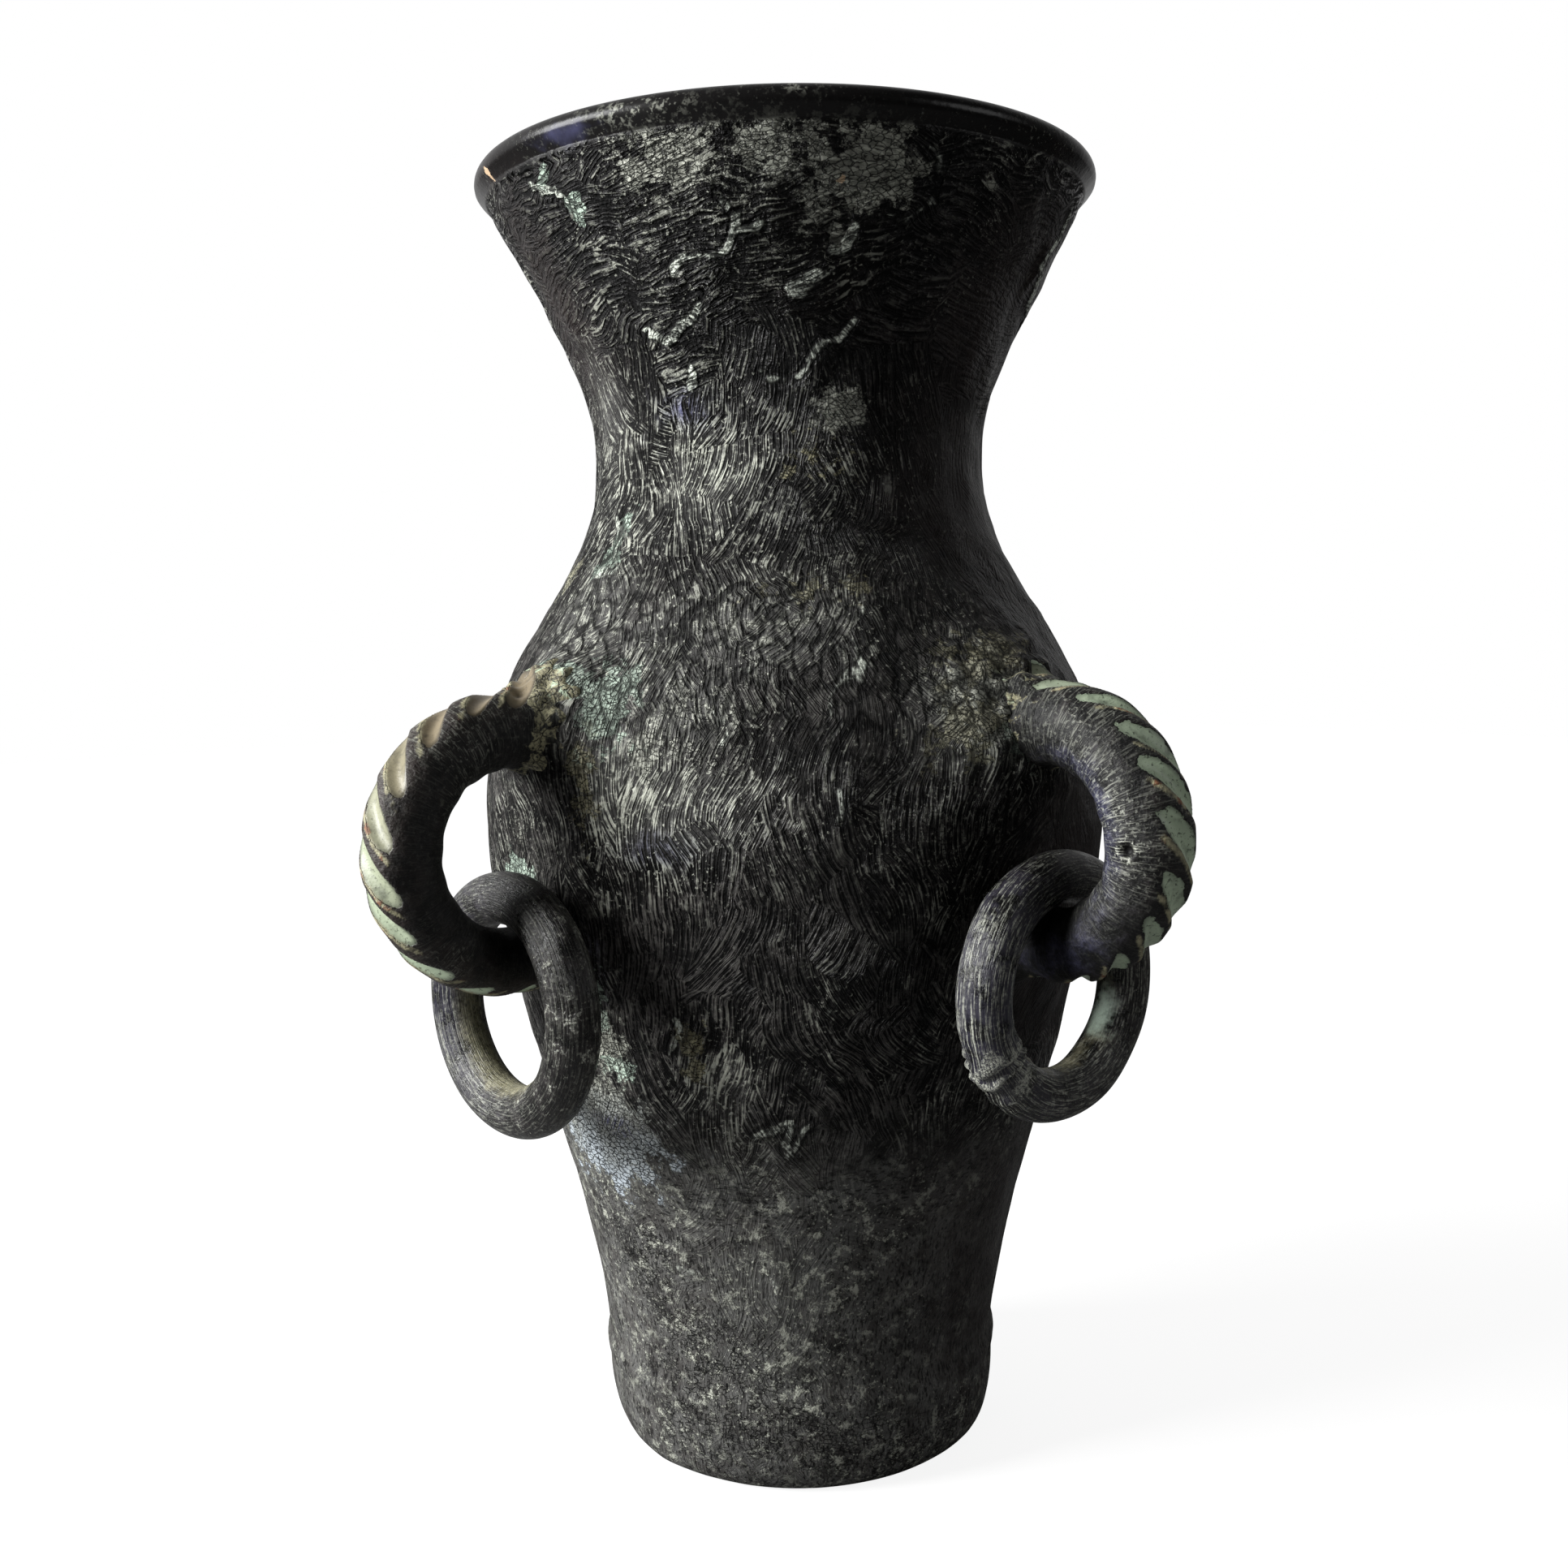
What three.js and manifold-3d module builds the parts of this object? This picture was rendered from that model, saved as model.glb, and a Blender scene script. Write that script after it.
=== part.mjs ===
// Terracotta amphora with a charcoal patina: a wheel-thrown vessel, four rope-twisted loop handles luted to
// its belly a quarter turn apart, and a loose ring hanging on the lower bar of each handle.
// Millimetres, +Z up, origin at the centre of the foot. Two handles lie along X and two along Y.
import * as THREE from 'three';
import { mergeVertices } from 'three/addons/utils/BufferGeometryUtils.js';
import Module from 'manifold-3d';

// Vessel: outside radii and the heights they are reached at
const vesselHeight = 360;
const footBaseRadius = 50;
const footRadius = 57.2;
const footRoundHeight = 20;
const footBandSwell = 0.8;
const footBandHeight = 26;
const footTopHeight = 31;
const bellyRadius = 88.6;
const bellyHeight = 184;
const neckRadius = 55.2;
const neckHeight = 281;
const lipRadius = 86.8;
const lipThickness = 7.2;
const lipOverhang = 2.4;
const lipRoundDip = THREE.MathUtils.degToRad(30);

// Vessel: wall, floor and the shape factors of its curves, as shares of each curve's own height
const wallThickness = 7;
const floorThickness = 10;
const floorCornerRadius = 8;
const lowerWallSlope = 0.11;
const lowerWallStraightness = 0.3;
const bellyFullnessBelow = 0.24;
const bellyFullnessAbove = 0.49;
const neckWaistBelow = 0.37;
const neckWaistAbove = 0.2;
const throatSlope = 0.6;
const throatStraightness = 0.64;

// Handles: a round coil bent into a loop, with thumb-pressed scoops slanting round its outer side
const handleTopHeight = 210;
const handleRootDepth = 4;
const upperRootFlare = 6.5;
const upperRootFlareLength = 17;
const lowerRootFlare = 2.5;
const lowerRootFlareLength = 6;
const coilTaper = 1.2;
const coilTaperStart = 0.45;
const coilTaperEnd = 0.8;
const scoopCount = 11;
const scoopDepth = 2;
const scoopSlant = 8.4;
const scoopHalfShare = 0.36;
const scoopHalfAngle = THREE.MathUtils.degToRad(48);
const scoopMiddleAngle = THREE.MathUtils.degToRad(5);
const scoopRootMargin = 11;

// Each handle was rolled by hand, so its thickness and the height of its lower bar are its own
const frontLeftThickness = 20;
const frontLeftBarHeight = 150.8;
const frontRightThickness = 21.8;
const frontRightBarHeight = 154.6;
const backThickness = 21;
const backBarHeight = 153;
const handles = [
  { place: 'front_left', turn: -90, thickness: frontLeftThickness, barHeight: frontLeftBarHeight },
  { place: 'front_right', turn: 0, thickness: frontRightThickness, barHeight: frontRightBarHeight },
  { place: 'back_right', turn: 90, thickness: backThickness, barHeight: backBarHeight },
  { place: 'back_left', turn: 180, thickness: backThickness, barHeight: backBarHeight },
];

// Rings
const ringHoleDiameter = 41.2;
const ringThickness = 14;

// Clearances
const lutingGap = 0.3;
const ringSeatGap = 0.3;
const ringWallClearance = 2.3;

// Facets
const vesselSegments = 48;
const outsideSteps = { foot: 4, lower: 8, shoulder: 9, throat: 7, lip: 6 };
const insideSteps = { throat: 5, shoulder: 5, lower: 4, corner: 3 };
const handleSteps = 54;
const handleSides = 16;
const slantRamp = 22;
const outerCloseness = 0.35;
const ringSteps = 28;
const ringSides = 10;
const weldDistance = 1e-4;

const wasm = await Module();
wasm.setup();

// The ring hangs clear of the belly, and the handle's bend is centred over the same place
const ringSeat = bellyRadius + ringWallClearance + ringThickness / 2;

// The three curves of the outer wall, from the top of the foot to just under the lip
function wallCurves() {
  const footTop = new THREE.Vector2(footRadius, footTopHeight);
  const belly = new THREE.Vector2(bellyRadius, bellyHeight);
  const neck = new THREE.Vector2(neckRadius, neckHeight);
  const lip = new THREE.Vector2(lipRadius - lipOverhang, vesselHeight - lipThickness);
  const lowerRise = bellyHeight - footTopHeight;
  const shoulderRise = neckHeight - bellyHeight;
  const throatRise = lip.y - neckHeight;
  const lowerPull = lowerWallStraightness * lowerRise;
  const throatPull = throatStraightness * throatRise;
  const lower = new THREE.CubicBezierCurve(
    footTop,
    new THREE.Vector2(footTop.x + lowerWallSlope * lowerPull, footTop.y + lowerPull),
    new THREE.Vector2(belly.x, belly.y - bellyFullnessBelow * lowerRise),
    belly,
  );
  const shoulder = new THREE.CubicBezierCurve(
    belly,
    new THREE.Vector2(belly.x, belly.y + bellyFullnessAbove * shoulderRise),
    new THREE.Vector2(neck.x, neck.y - neckWaistBelow * shoulderRise),
    neck,
  );
  const throat = new THREE.CubicBezierCurve(
    neck,
    new THREE.Vector2(neck.x, neck.y + neckWaistAbove * throatRise),
    new THREE.Vector2(lip.x - throatSlope * throatPull, lip.y - throatPull),
    lip,
  );
  return { lower, shoulder, throat };
}

// The outer wall from the edge of the flat base up to the step under the lip
function outerWall() {
  const { lower, shoulder, throat } = wallCurves();
  const footRound = new THREE.EllipseCurve(
    footBaseRadius, footRoundHeight, footRadius - footBaseRadius, footRoundHeight, -Math.PI / 2, 0,
  );
  return [
    ...footRound.getPoints(outsideSteps.foot),
    new THREE.Vector2(footRadius + footBandSwell, footBandHeight),
    ...lower.getPoints(outsideSteps.lower),
    ...shoulder.getPoints(outsideSteps.shoulder).slice(1),
    ...throat.getPoints(outsideSteps.throat).slice(1),
  ];
}

// A rounded lip, from its outer underside over the top to the inside
function lipRound() {
  const radius = lipThickness / 2;
  const middle = new THREE.Vector2(lipRadius - radius, vesselHeight - radius);
  const round = new THREE.EllipseCurve(
    middle.x, middle.y, radius, radius, -lipRoundDip, Math.PI + lipRoundDip,
  );
  return round.getPoints(outsideSteps.lip);
}

// The inner wall from the lip down to the floor: the outer curves moved inwards by the wall's thickness
function innerWall() {
  const curves = wallCurves();
  const inside = [];
  for (const part of ['throat', 'shoulder', 'lower']) {
    const curve = curves[part];
    for (let i = 0; i < insideSteps[part]; i += 1) {
      const t = 1 - i / insideSteps[part];
      const tangent = curve.getTangent(t);
      const outward = new THREE.Vector2(tangent.y, -tangent.x);
      inside.push(curve.getPoint(t).addScaledVector(outward, -wallThickness));
    }
  }
  const lipUnderside = vesselHeight - lipThickness;
  const floorCorner = new THREE.EllipseCurve(
    footRadius - wallThickness - floorCornerRadius, floorThickness + floorCornerRadius,
    floorCornerRadius, floorCornerRadius, 0, -Math.PI / 2, true,
  );
  return [
    ...inside.filter((point) => point.y < lipUnderside),
    ...floorCorner.getPoints(insideSteps.corner),
  ];
}

// Turns a profile of radius and height about the vertical axis
function revolve(profile) {
  return new THREE.LatheGeometry(profile, vesselSegments).rotateX(Math.PI / 2);
}

function vesselGeometry() {
  return revolve([
    new THREE.Vector2(0, 0),
    ...outerWall(),
    ...lipRound(),
    ...innerWall(),
    new THREE.Vector2(0, floorThickness),
  ]);
}

// The vessel's outside as a full solid, larger by the luting gap, that handle ends are cut to
function vesselEnvelope() {
  const grown = outerWall().map((point) => new THREE.Vector2(point.x + lutingGap, point.y));
  return revolve([new THREE.Vector2(0, 0), ...grown, new THREE.Vector2(0, grown.at(-1).y)]);
}

// Outside radius of the vessel at a height above the foot's round
function wallRadius(height) {
  const wall = outerWall();
  const above = wall.findIndex((point) => point.y > height);
  const low = wall[above - 1];
  const high = wall[above];
  return THREE.MathUtils.mapLinear(height, low.y, high.y, low.x, high.x);
}

// The middle line of a handle in its own upright plane: out from the shoulder, round the bend and back
function handlePath(barHeight) {
  const bendRadius = (handleTopHeight - barHeight) / 2;
  const bendHeight = barHeight + bendRadius;
  const upperRoot = new THREE.Vector2(wallRadius(handleTopHeight) - handleRootDepth, handleTopHeight);
  const lowerRoot = new THREE.Vector2(wallRadius(barHeight) - handleRootDepth, barHeight);
  const path = new THREE.CurvePath();
  const bend = new THREE.EllipseCurve(
    ringSeat, bendHeight, bendRadius, bendRadius, Math.PI / 2, -Math.PI / 2, true,
  );
  path.add(new THREE.LineCurve(upperRoot, new THREE.Vector2(ringSeat, handleTopHeight)));
  path.add(bend);
  path.add(new THREE.LineCurve(new THREE.Vector2(ringSeat, barHeight), lowerRoot));
  return path;
}

// How far the coil swells where it is smeared onto the wall, by the distance from the wall
function rootSwell(distance, flare, length) {
  const rest = THREE.MathUtils.clamp(1 - distance / length, 0, 1);
  return flare * rest * rest;
}

// How much thinner the coil's radius has become at a share of its length, towards the lower bar
function coilThinning(share) {
  return coilTaper * THREE.MathUtils.smoothstep(share, coilTaperStart, coilTaperEnd);
}

// Depth of the slanting oval scoops at a distance along the handle and an angle round it,
// where angle 0 is the outer side of the bend
function scoopAt(distance, angle, length) {
  const pitch = (length - 2 * scoopRootMargin) / (scoopCount - 1);
  const turns = (distance - scoopRootMargin - scoopSlant * Math.sin(angle)) / pitch;
  const nearest = THREE.MathUtils.clamp(Math.round(turns), 0, scoopCount - 1);
  const along = (turns - nearest) / scoopHalfShare;
  const around = (angle - scoopMiddleAngle) / scoopHalfAngle;
  return scoopDepth * Math.max(0, 1 - along * along - around * around);
}

// A closed skin over rings of points that all have the same count, with a fan over each end
function skinOverRings(rings) {
  const sides = rings[0].length;
  const positions = rings.flat().flatMap((point) => point.toArray());
  const triangles = [];
  for (let i = 0; i + 1 < rings.length; i += 1) {
    for (let j = 0; j < sides; j += 1) {
      const a = i * sides + j;
      const b = i * sides + ((j + 1) % sides);
      triangles.push(a, a + sides, b, b, a + sides, b + sides);
    }
  }
  const last = (rings.length - 1) * sides;
  for (let j = 1; j + 1 < sides; j += 1) {
    triangles.push(0, j, j + 1);
    triangles.push(last, last + j + 1, last + j);
  }
  const skin = new THREE.BufferGeometry();
  skin.setAttribute('position', new THREE.Float32BufferAttribute(positions, 3));
  skin.setIndex(triangles);
  return skin;
}

// A handle's coil along +X with its scoops and smeared roots, before its ends are cut to the wall.
// Away from the ends its rings of points slant with the scoops, and they are closer on the outer side.
function handleCoil({ thickness, barHeight }) {
  const path = handlePath(barHeight);
  const length = path.getLength();
  const rings = [];
  for (let i = 0; i <= handleSteps; i += 1) {
    const straight = (length * i) / handleSteps;
    const endDistance = Math.min(straight, length - straight);
    const slant = scoopSlant * THREE.MathUtils.smoothstep(endDistance, 0, slantRamp);
    const ring = [];
    for (let j = 0; j < handleSides; j += 1) {
      const turn = 2 * Math.PI * (j / handleSides > 0.5 ? j / handleSides - 1 : j / handleSides);
      const angle = turn - outerCloseness * Math.sin(turn);
      const distance = straight + slant * Math.sin(angle);
      const middle = path.getPoint(distance / length);
      const tangent = path.getTangent(distance / length);
      const outer = new THREE.Vector3(-tangent.y, 0, tangent.x);
      const radius = thickness / 2 - coilThinning(distance / length)
        + rootSwell(distance - handleRootDepth, upperRootFlare, upperRootFlareLength)
        + rootSwell(length - distance - handleRootDepth, lowerRootFlare, lowerRootFlareLength)
        - scoopAt(distance, angle, length);
      const point = new THREE.Vector3(middle.x, radius * Math.sin(angle), middle.y);
      ring.push(point.addScaledVector(outer, radius * Math.cos(angle)));
    }
    rings.push(ring);
  }
  return skinOverRings(rings);
}

// A solid for cutting, from a closed geometry with its shared corners joined and collapsed faces left out
function solidOf(geometry) {
  const bare = geometry.clone();
  bare.deleteAttribute('normal');
  bare.deleteAttribute('uv');
  const joined = mergeVertices(bare, weldDistance);
  const corners = joined.index.array;
  const kept = [];
  for (let i = 0; i < corners.length; i += 3) {
    const [a, b, c] = corners.slice(i, i + 3);
    if (a !== b && b !== c && c !== a) kept.push(a, b, c);
  }
  return new wasm.Manifold(new wasm.Mesh({
    numProp: 3,
    vertProperties: new Float32Array(joined.attributes.position.array),
    triVerts: new Uint32Array(kept),
  }));
}

function geometryOf(solid) {
  const { vertProperties, triVerts } = solid.getMesh();
  const geometry = new THREE.BufferGeometry();
  geometry.setAttribute('position', new THREE.BufferAttribute(vertProperties, 3));
  geometry.setIndex(new THREE.BufferAttribute(triVerts, 1));
  geometry.computeVertexNormals();
  return geometry;
}

// A closed ring that hangs with its hole's top just clear of the handle's lower bar
function ringGeometry() {
  const middleRadius = (ringHoleDiameter + ringThickness) / 2;
  return new THREE.TorusGeometry(middleRadius, ringThickness / 2, ringSides, ringSteps).rotateY(Math.PI / 2);
}

function namedMesh(name, geometry, color, roughness) {
  const material = new THREE.MeshStandardMaterial({ color, roughness, metalness: 0 });
  const mesh = new THREE.Mesh(geometry, material);
  mesh.name = name;
  return mesh;
}

const envelope = solidOf(vesselEnvelope());
const amphora = new THREE.Group();
amphora.add(namedMesh('vessel', vesselGeometry(), 0x2b2a29, 0.7));

for (const handle of handles) {
  const barTop = handle.barHeight + handle.thickness / 2 - coilTaper;
  const coil = solidOf(handleCoil(handle)).subtract(envelope);
  const ring = namedMesh(`ring_${handle.place}`, ringGeometry(), 0x2f3030, 0.6);
  ring.position.set(ringSeat, 0, barTop + ringSeatGap - ringHoleDiameter / 2);
  const station = new THREE.Group();
  station.rotation.z = THREE.MathUtils.degToRad(handle.turn);
  station.add(namedMesh(`handle_${handle.place}`, geometryOf(coil), 0x36352f, 0.65));
  station.add(ring);
  amphora.add(station);
}

export default amphora;
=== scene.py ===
"""Looks of a terracotta amphora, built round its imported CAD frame.

A thrown vessel, four loop handles with pressed scoops and four loose rings, painted charcoal and
dry-brushed grey-green. Sizes are in millimetres and become metres when a mesh is made. Turns are degrees
about the vessel's axis: 0 is the front right handle, -90 the front left one and -42 faces the camera.
"""

import logging
import math
from dataclasses import dataclass, field
from enum import Enum

import bpy
import numpy as np
from mathutils import Matrix, Vector

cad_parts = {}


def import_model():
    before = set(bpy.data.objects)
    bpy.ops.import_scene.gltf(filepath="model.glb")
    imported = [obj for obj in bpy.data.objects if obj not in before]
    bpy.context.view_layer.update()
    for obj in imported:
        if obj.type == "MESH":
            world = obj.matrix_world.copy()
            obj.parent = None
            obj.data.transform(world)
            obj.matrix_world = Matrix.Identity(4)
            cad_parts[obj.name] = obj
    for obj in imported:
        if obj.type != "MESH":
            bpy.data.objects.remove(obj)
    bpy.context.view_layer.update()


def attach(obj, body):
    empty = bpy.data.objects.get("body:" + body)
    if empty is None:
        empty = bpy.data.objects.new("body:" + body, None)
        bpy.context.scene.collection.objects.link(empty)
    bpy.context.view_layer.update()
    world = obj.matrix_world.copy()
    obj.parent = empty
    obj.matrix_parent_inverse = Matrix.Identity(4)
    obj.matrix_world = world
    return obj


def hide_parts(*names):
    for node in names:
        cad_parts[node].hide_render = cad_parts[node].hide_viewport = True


METRES = 0.001
log = logging.getLogger("amphora")

Colour = tuple[float, float, float, float]
Socket = bpy.types.NodeSocket
Value = Socket | float
Field = np.ndarray


def paint(red: int, green: int, blue: int) -> Colour:
    """Linear colour of a paint given as display values from 0 to 255.

    Args:
        red: display red.
        green: display green.
        blue: display blue.

    Returns:
        The colour as a shader socket takes it.
    """
    shares = np.array([red, green, blue]) / 255
    linear = np.where(shares <= 0.04045, shares / 12.92, ((shares + 0.055) / 1.055) ** 2.4)
    return (*linear.tolist(), 1.0)


class Wear(Enum):
    """Point values that say where a finish is worn, rubbed or stained, and where light or shade is painted
    on it.
    """

    RUBBED_AND_HIGHLIGHT = "rubbed_and_highlight"
    MOSAIC = "mosaic"
    MINT_AND_HIGHLIGHT = "mint"
    OLIVE = "olive"
    VIOLET_HIGHLIGHT = "violet_highlight"
    BROWN_AND_SHADE = "brown_and_shade"
    BARE = "bare"
    EDGE = "edge"
    CRACK = "crack"
    SCOOP = "scoop"
    TONE = "tone"


class Place(Enum):
    """Where a handle stands, as in the names of its CAD nodes."""

    FRONT_LEFT = "front_left"
    FRONT_RIGHT = "front_right"
    BACK_RIGHT = "back_right"
    BACK_LEFT = "back_left"


@dataclass(frozen=True)
class Patch:
    """A soft-edged worn place on the vessel, or a place of painted light and shade.

    Its strength falls off as the bell curve of its distance from the middle, in shares of its half sizes.
    """

    turn: float
    height: float
    half_width: float
    half_height: float
    amount: float = 1.0


@dataclass(frozen=True)
class Crease:
    """A raised flake edge or a crack that follows a few points of turn and height on the vessel."""

    points: tuple[tuple[float, float], ...]
    half_width: float = 1.6
    strength: float = 1.0


def bell(squares: Field) -> Field:
    """Bell curve of a squared distance: 1 in the middle and near 0 at a distance of 2."""
    return np.exp(-squares)


def ease(values: Field, low: float, high: float) -> Field:
    """S-shaped step from 0 at low to 1 at high.

    Args:
        values: what is stepped.
        low: where the step starts.
        high: where the step ends.

    Returns:
        Shares from 0 to 1.
    """
    share = np.clip((values - low) / (high - low), 0, 1)
    return share * share * (3 - 2 * share)


def ripples(points: Field, wavelength: float, seed: int, waves: int = 20) -> Field:
    """Smooth noise of unit strength: a sum of cosine waves of one length in seeded random directions.

    Args:
        points: places in space, with their three coordinates last.
        wavelength: length of each wave.
        seed: number that fixes the directions.
        waves: how many waves are summed.

    Returns:
        One value for each point.
    """
    chance = np.random.default_rng(seed)
    directions = chance.normal(size=(3, waves))
    directions *= 2 * np.pi / wavelength / np.linalg.norm(directions, axis=0)
    shifts = chance.uniform(0, 2 * np.pi, waves)
    return np.cos(points @ directions + shifts).sum(axis=-1) * math.sqrt(2 / waves)


def bezier(corners: list[tuple[float, float]], share: Field) -> Field:
    """Cubic curve through its first and last corner, pulled towards the two between.

    Args:
        corners: four points of radius and height.
        share: how far along the curve, from 0 to 1.

    Returns:
        Points of the curve.
    """
    a, b, c, d = np.array(corners)
    t = share[:, None]
    rest = 1 - t
    return rest**3 * a + 3 * rest**2 * t * b + 3 * rest * t**2 * c + t**3 * d


def even(curve: Field, count: int) -> Field:
    """Points spaced evenly by length along a curve, without its last point.

    Args:
        curve: closely spaced points.
        count: how many points are wanted.

    Returns:
        The evenly spaced points.
    """
    steps = np.linalg.norm(np.diff(curve, axis=0), axis=1)
    length = np.concatenate([[0], np.cumsum(steps)])
    stops = np.linspace(0, length[-1], count, endpoint=False)
    return np.stack([np.interp(stops, length, curve[:, axis]) for axis in range(curve.shape[1])], axis=1)


def turned(points: Field, turn: float) -> Field:
    """Points turned about the vessel's axis.

    Args:
        points: places with their three coordinates last.
        turn: degrees, anticlockwise from above.

    Returns:
        The turned points.
    """
    angle = math.radians(turn)
    spin = np.array([
        [math.cos(angle), -math.sin(angle), 0],
        [math.sin(angle), math.cos(angle), 0],
        [0, 0, 1],
    ])
    return points @ spin.T


@dataclass
class Skin:
    """A surface given on a grid of rows and columns, closed round its columns.

    A row of points becomes a ring of corners, and neighbouring rings are joined by four-sided faces. The
    first and last ring are closed by a fan to their middle point, or joined to each other in a closed loop.
    """

    grid: Field
    loop: bool = False
    values: dict[str, Field] = field(default_factory=dict)

    def quads(self) -> Field:
        """Four corner numbers for each face between neighbouring rings."""
        rows, columns, _ = self.grid.shape
        numbers = np.arange(rows * columns).reshape(rows, columns)
        if self.loop:
            numbers = np.concatenate([numbers, numbers[:1]])
        beside = np.roll(numbers, -1, axis=1)
        return np.stack([numbers[:-1], beside[:-1], beside[1:], numbers[1:]], axis=-1).reshape(-1, 4)

    def fans(self) -> Field:
        """Three corner numbers for each face between an end ring and its middle point."""
        rows, columns, _ = self.grid.shape
        first = np.arange(columns)
        last = first + (rows - 1) * columns
        middle = np.full(columns, rows * columns)
        start = np.stack([middle, np.roll(first, -1), first], axis=-1)
        end = np.stack([middle + 1, last, np.roll(last, -1)], axis=-1)
        return np.concatenate([start, end])

    def spread(self, values: Field) -> Field:
        """Grid values as one flat list of points, with the mean of each end ring for its middle point."""
        flat = values.reshape(-1, *values.shape[2:])
        if self.loop:
            return flat
        return np.concatenate([flat, values[:1].mean(axis=1), values[-1:].mean(axis=1)])

    def piece(self, name: str) -> bpy.types.Object:
        """Makes the surface an object with smooth faces and its named point values.

        Args:
            name: the object's name.

        Returns:
            The object, linked into the scene and at the origin.
        """
        quads = self.quads()
        fans = np.zeros((0, 3), int) if self.loop else self.fans()
        corners = np.concatenate([quads.ravel(), fans.ravel()])
        sizes = np.repeat([4, 3], [len(quads), len(fans)])
        points = self.spread(self.grid) * METRES
        mesh = bpy.data.meshes.new(name)
        mesh.vertices.add(len(points))
        mesh.vertices.foreach_set("co", points.ravel())
        mesh.loops.add(len(corners))
        mesh.loops.foreach_set("vertex_index", corners)
        mesh.polygons.add(len(sizes))
        mesh.polygons.foreach_set("loop_start", np.cumsum(sizes) - sizes)
        mesh.polygons.foreach_set("use_smooth", np.ones(len(sizes), bool))
        mesh.update(calc_edges=True)
        for label, values in self.values.items():
            flat = self.spread(values)
            kind, key = ("FLOAT_VECTOR", "vector") if flat.ndim > 1 else ("FLOAT", "value")
            mesh.attributes.new(label, kind, "POINT").data.foreach_set(key, flat.ravel())
        made = bpy.data.objects.new(name, mesh)
        bpy.context.scene.collection.objects.link(made)
        return made


class Graph:
    """Writes a node tree one step at a time and hands back the socket that each step gives."""

    def __init__(self, tree: bpy.types.NodeTree) -> None:
        """Starts on an empty tree."""
        self.tree = tree
        tree.nodes.clear()

    def node(self, kind: str, **settings: object) -> bpy.types.Node:
        """Adds a node.

        Args:
            kind: Blender's name for the node type.
            settings: properties of the node.

        Returns:
            The node.
        """
        made = self.tree.nodes.new(kind)
        for key, value in settings.items():
            setattr(made, key, value)
        return made

    def feed(self, socket: Socket, value: object) -> None:
        """Links a socket to another one, or sets its own value."""
        if isinstance(value, bpy.types.NodeSocket):
            self.tree.links.new(value, socket)
        else:
            socket.default_value = value

    def math(self, operation: str, *values: Value) -> Socket:
        """One step of arithmetic with numbers.

        Args:
            operation: Blender's name for the operation.
            values: numbers or sockets.

        Returns:
            The result.
        """
        made = self.node("ShaderNodeMath", operation=operation)
        for socket, value in zip(made.inputs, values):
            self.feed(socket, value)
        return made.outputs[0]

    def times(self, first: Value, second: Value) -> Socket:
        """Product of two numbers."""
        return self.math("MULTIPLY", first, second)

    def plus(self, first: Value, second: Value) -> Socket:
        """Sum of two numbers."""
        return self.math("ADD", first, second)

    def most(self, first: Value, second: Value) -> Socket:
        """Larger of two numbers."""
        return self.math("MAXIMUM", first, second)

    def vector(self, operation: str, *values: object) -> Socket:
        """One step of arithmetic with vectors.

        Args:
            operation: Blender's name for the operation.
            values: vectors or sockets, with the factor second where a vector is scaled.

        Returns:
            The resulting vector, or number for a dot product.
        """
        made = self.node("ShaderNodeVectorMath", operation=operation)
        sockets = [made.inputs[0], made.inputs["Scale"]] if operation == "SCALE" else made.inputs
        for socket, value in zip(sockets, values):
            self.feed(socket, value)
        return made.outputs["Value"] if operation == "DOT_PRODUCT" else made.outputs["Vector"]

    def join(self, x: Value, y: Value, z: Value) -> Socket:
        """A vector from three numbers."""
        made = self.node("ShaderNodeCombineXYZ")
        for socket, value in zip(made.inputs, (x, y, z)):
            self.feed(socket, value)
        return made.outputs[0]

    def split(self, vector: Socket) -> list[Socket]:
        """The three numbers of a vector."""
        made = self.node("ShaderNodeSeparateXYZ")
        self.feed(made.inputs[0], vector)
        return list(made.outputs)

    def noise(
        self, place: Socket, size: float, detail: float = 2.0, roughness: float = 0.5
    ) -> bpy.types.Node:
        """Cloudy noise.

        Args:
            place: coordinates.
            size: size of a cloud in the same unit.
            detail: how many finer layers are added.
            roughness: strength of the finer layers.

        Returns:
            The noise node.
        """
        made = self.node("ShaderNodeTexNoise")
        self.feed(made.inputs["Vector"], place)
        made.inputs["Scale"].default_value = 1 / size
        made.inputs["Detail"].default_value = detail
        made.inputs["Roughness"].default_value = roughness
        return made

    def cloud(self, place: Socket, size: float, detail: float = 2.0, roughness: float = 0.5) -> Socket:
        """Cloudy noise as a number round 0.5; arguments as for noise."""
        return self.noise(place, size, detail, roughness).outputs[0]

    def cells(self, place: Socket, size: float, feature: str = "F1") -> bpy.types.Node:
        """Random cells.

        Args:
            place: coordinates.
            size: size of a cell in the same unit.
            feature: F1 for the nearest cell or DISTANCE_TO_EDGE for its border.

        Returns:
            The cell node.
        """
        made = self.node("ShaderNodeTexVoronoi", feature=feature)
        self.feed(made.inputs["Vector"], place)
        made.inputs["Scale"].default_value = 1 / size
        return made

    def step(self, value: Value, low: float, high: float, start: Value = 0.0, end: Value = 1.0) -> Socket:
        """S-shaped step between two results.

        Args:
            value: what is stepped.
            low: where the step starts.
            high: where the step ends.
            start: result below the step.
            end: result above the step.

        Returns:
            The stepped number.
        """
        made = self.node("ShaderNodeMapRange", interpolation_type="SMOOTHSTEP")
        for socket, number in zip(made.inputs, (value, low, high, start, end)):
            self.feed(socket, number)
        return made.outputs[0]

    def blend(self, share: Value, first: object, second: object) -> Socket:
        """A colour between two colours.

        Args:
            share: 0 for the first and 1 for the second.
            first: colour or socket.
            second: colour or socket.

        Returns:
            The mixed colour.
        """
        made = self.node("ShaderNodeMix", data_type="RGBA")
        self.feed(made.inputs[0], share)
        self.feed(made.inputs[6], first)
        self.feed(made.inputs[7], second)
        return made.outputs[2]

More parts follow.
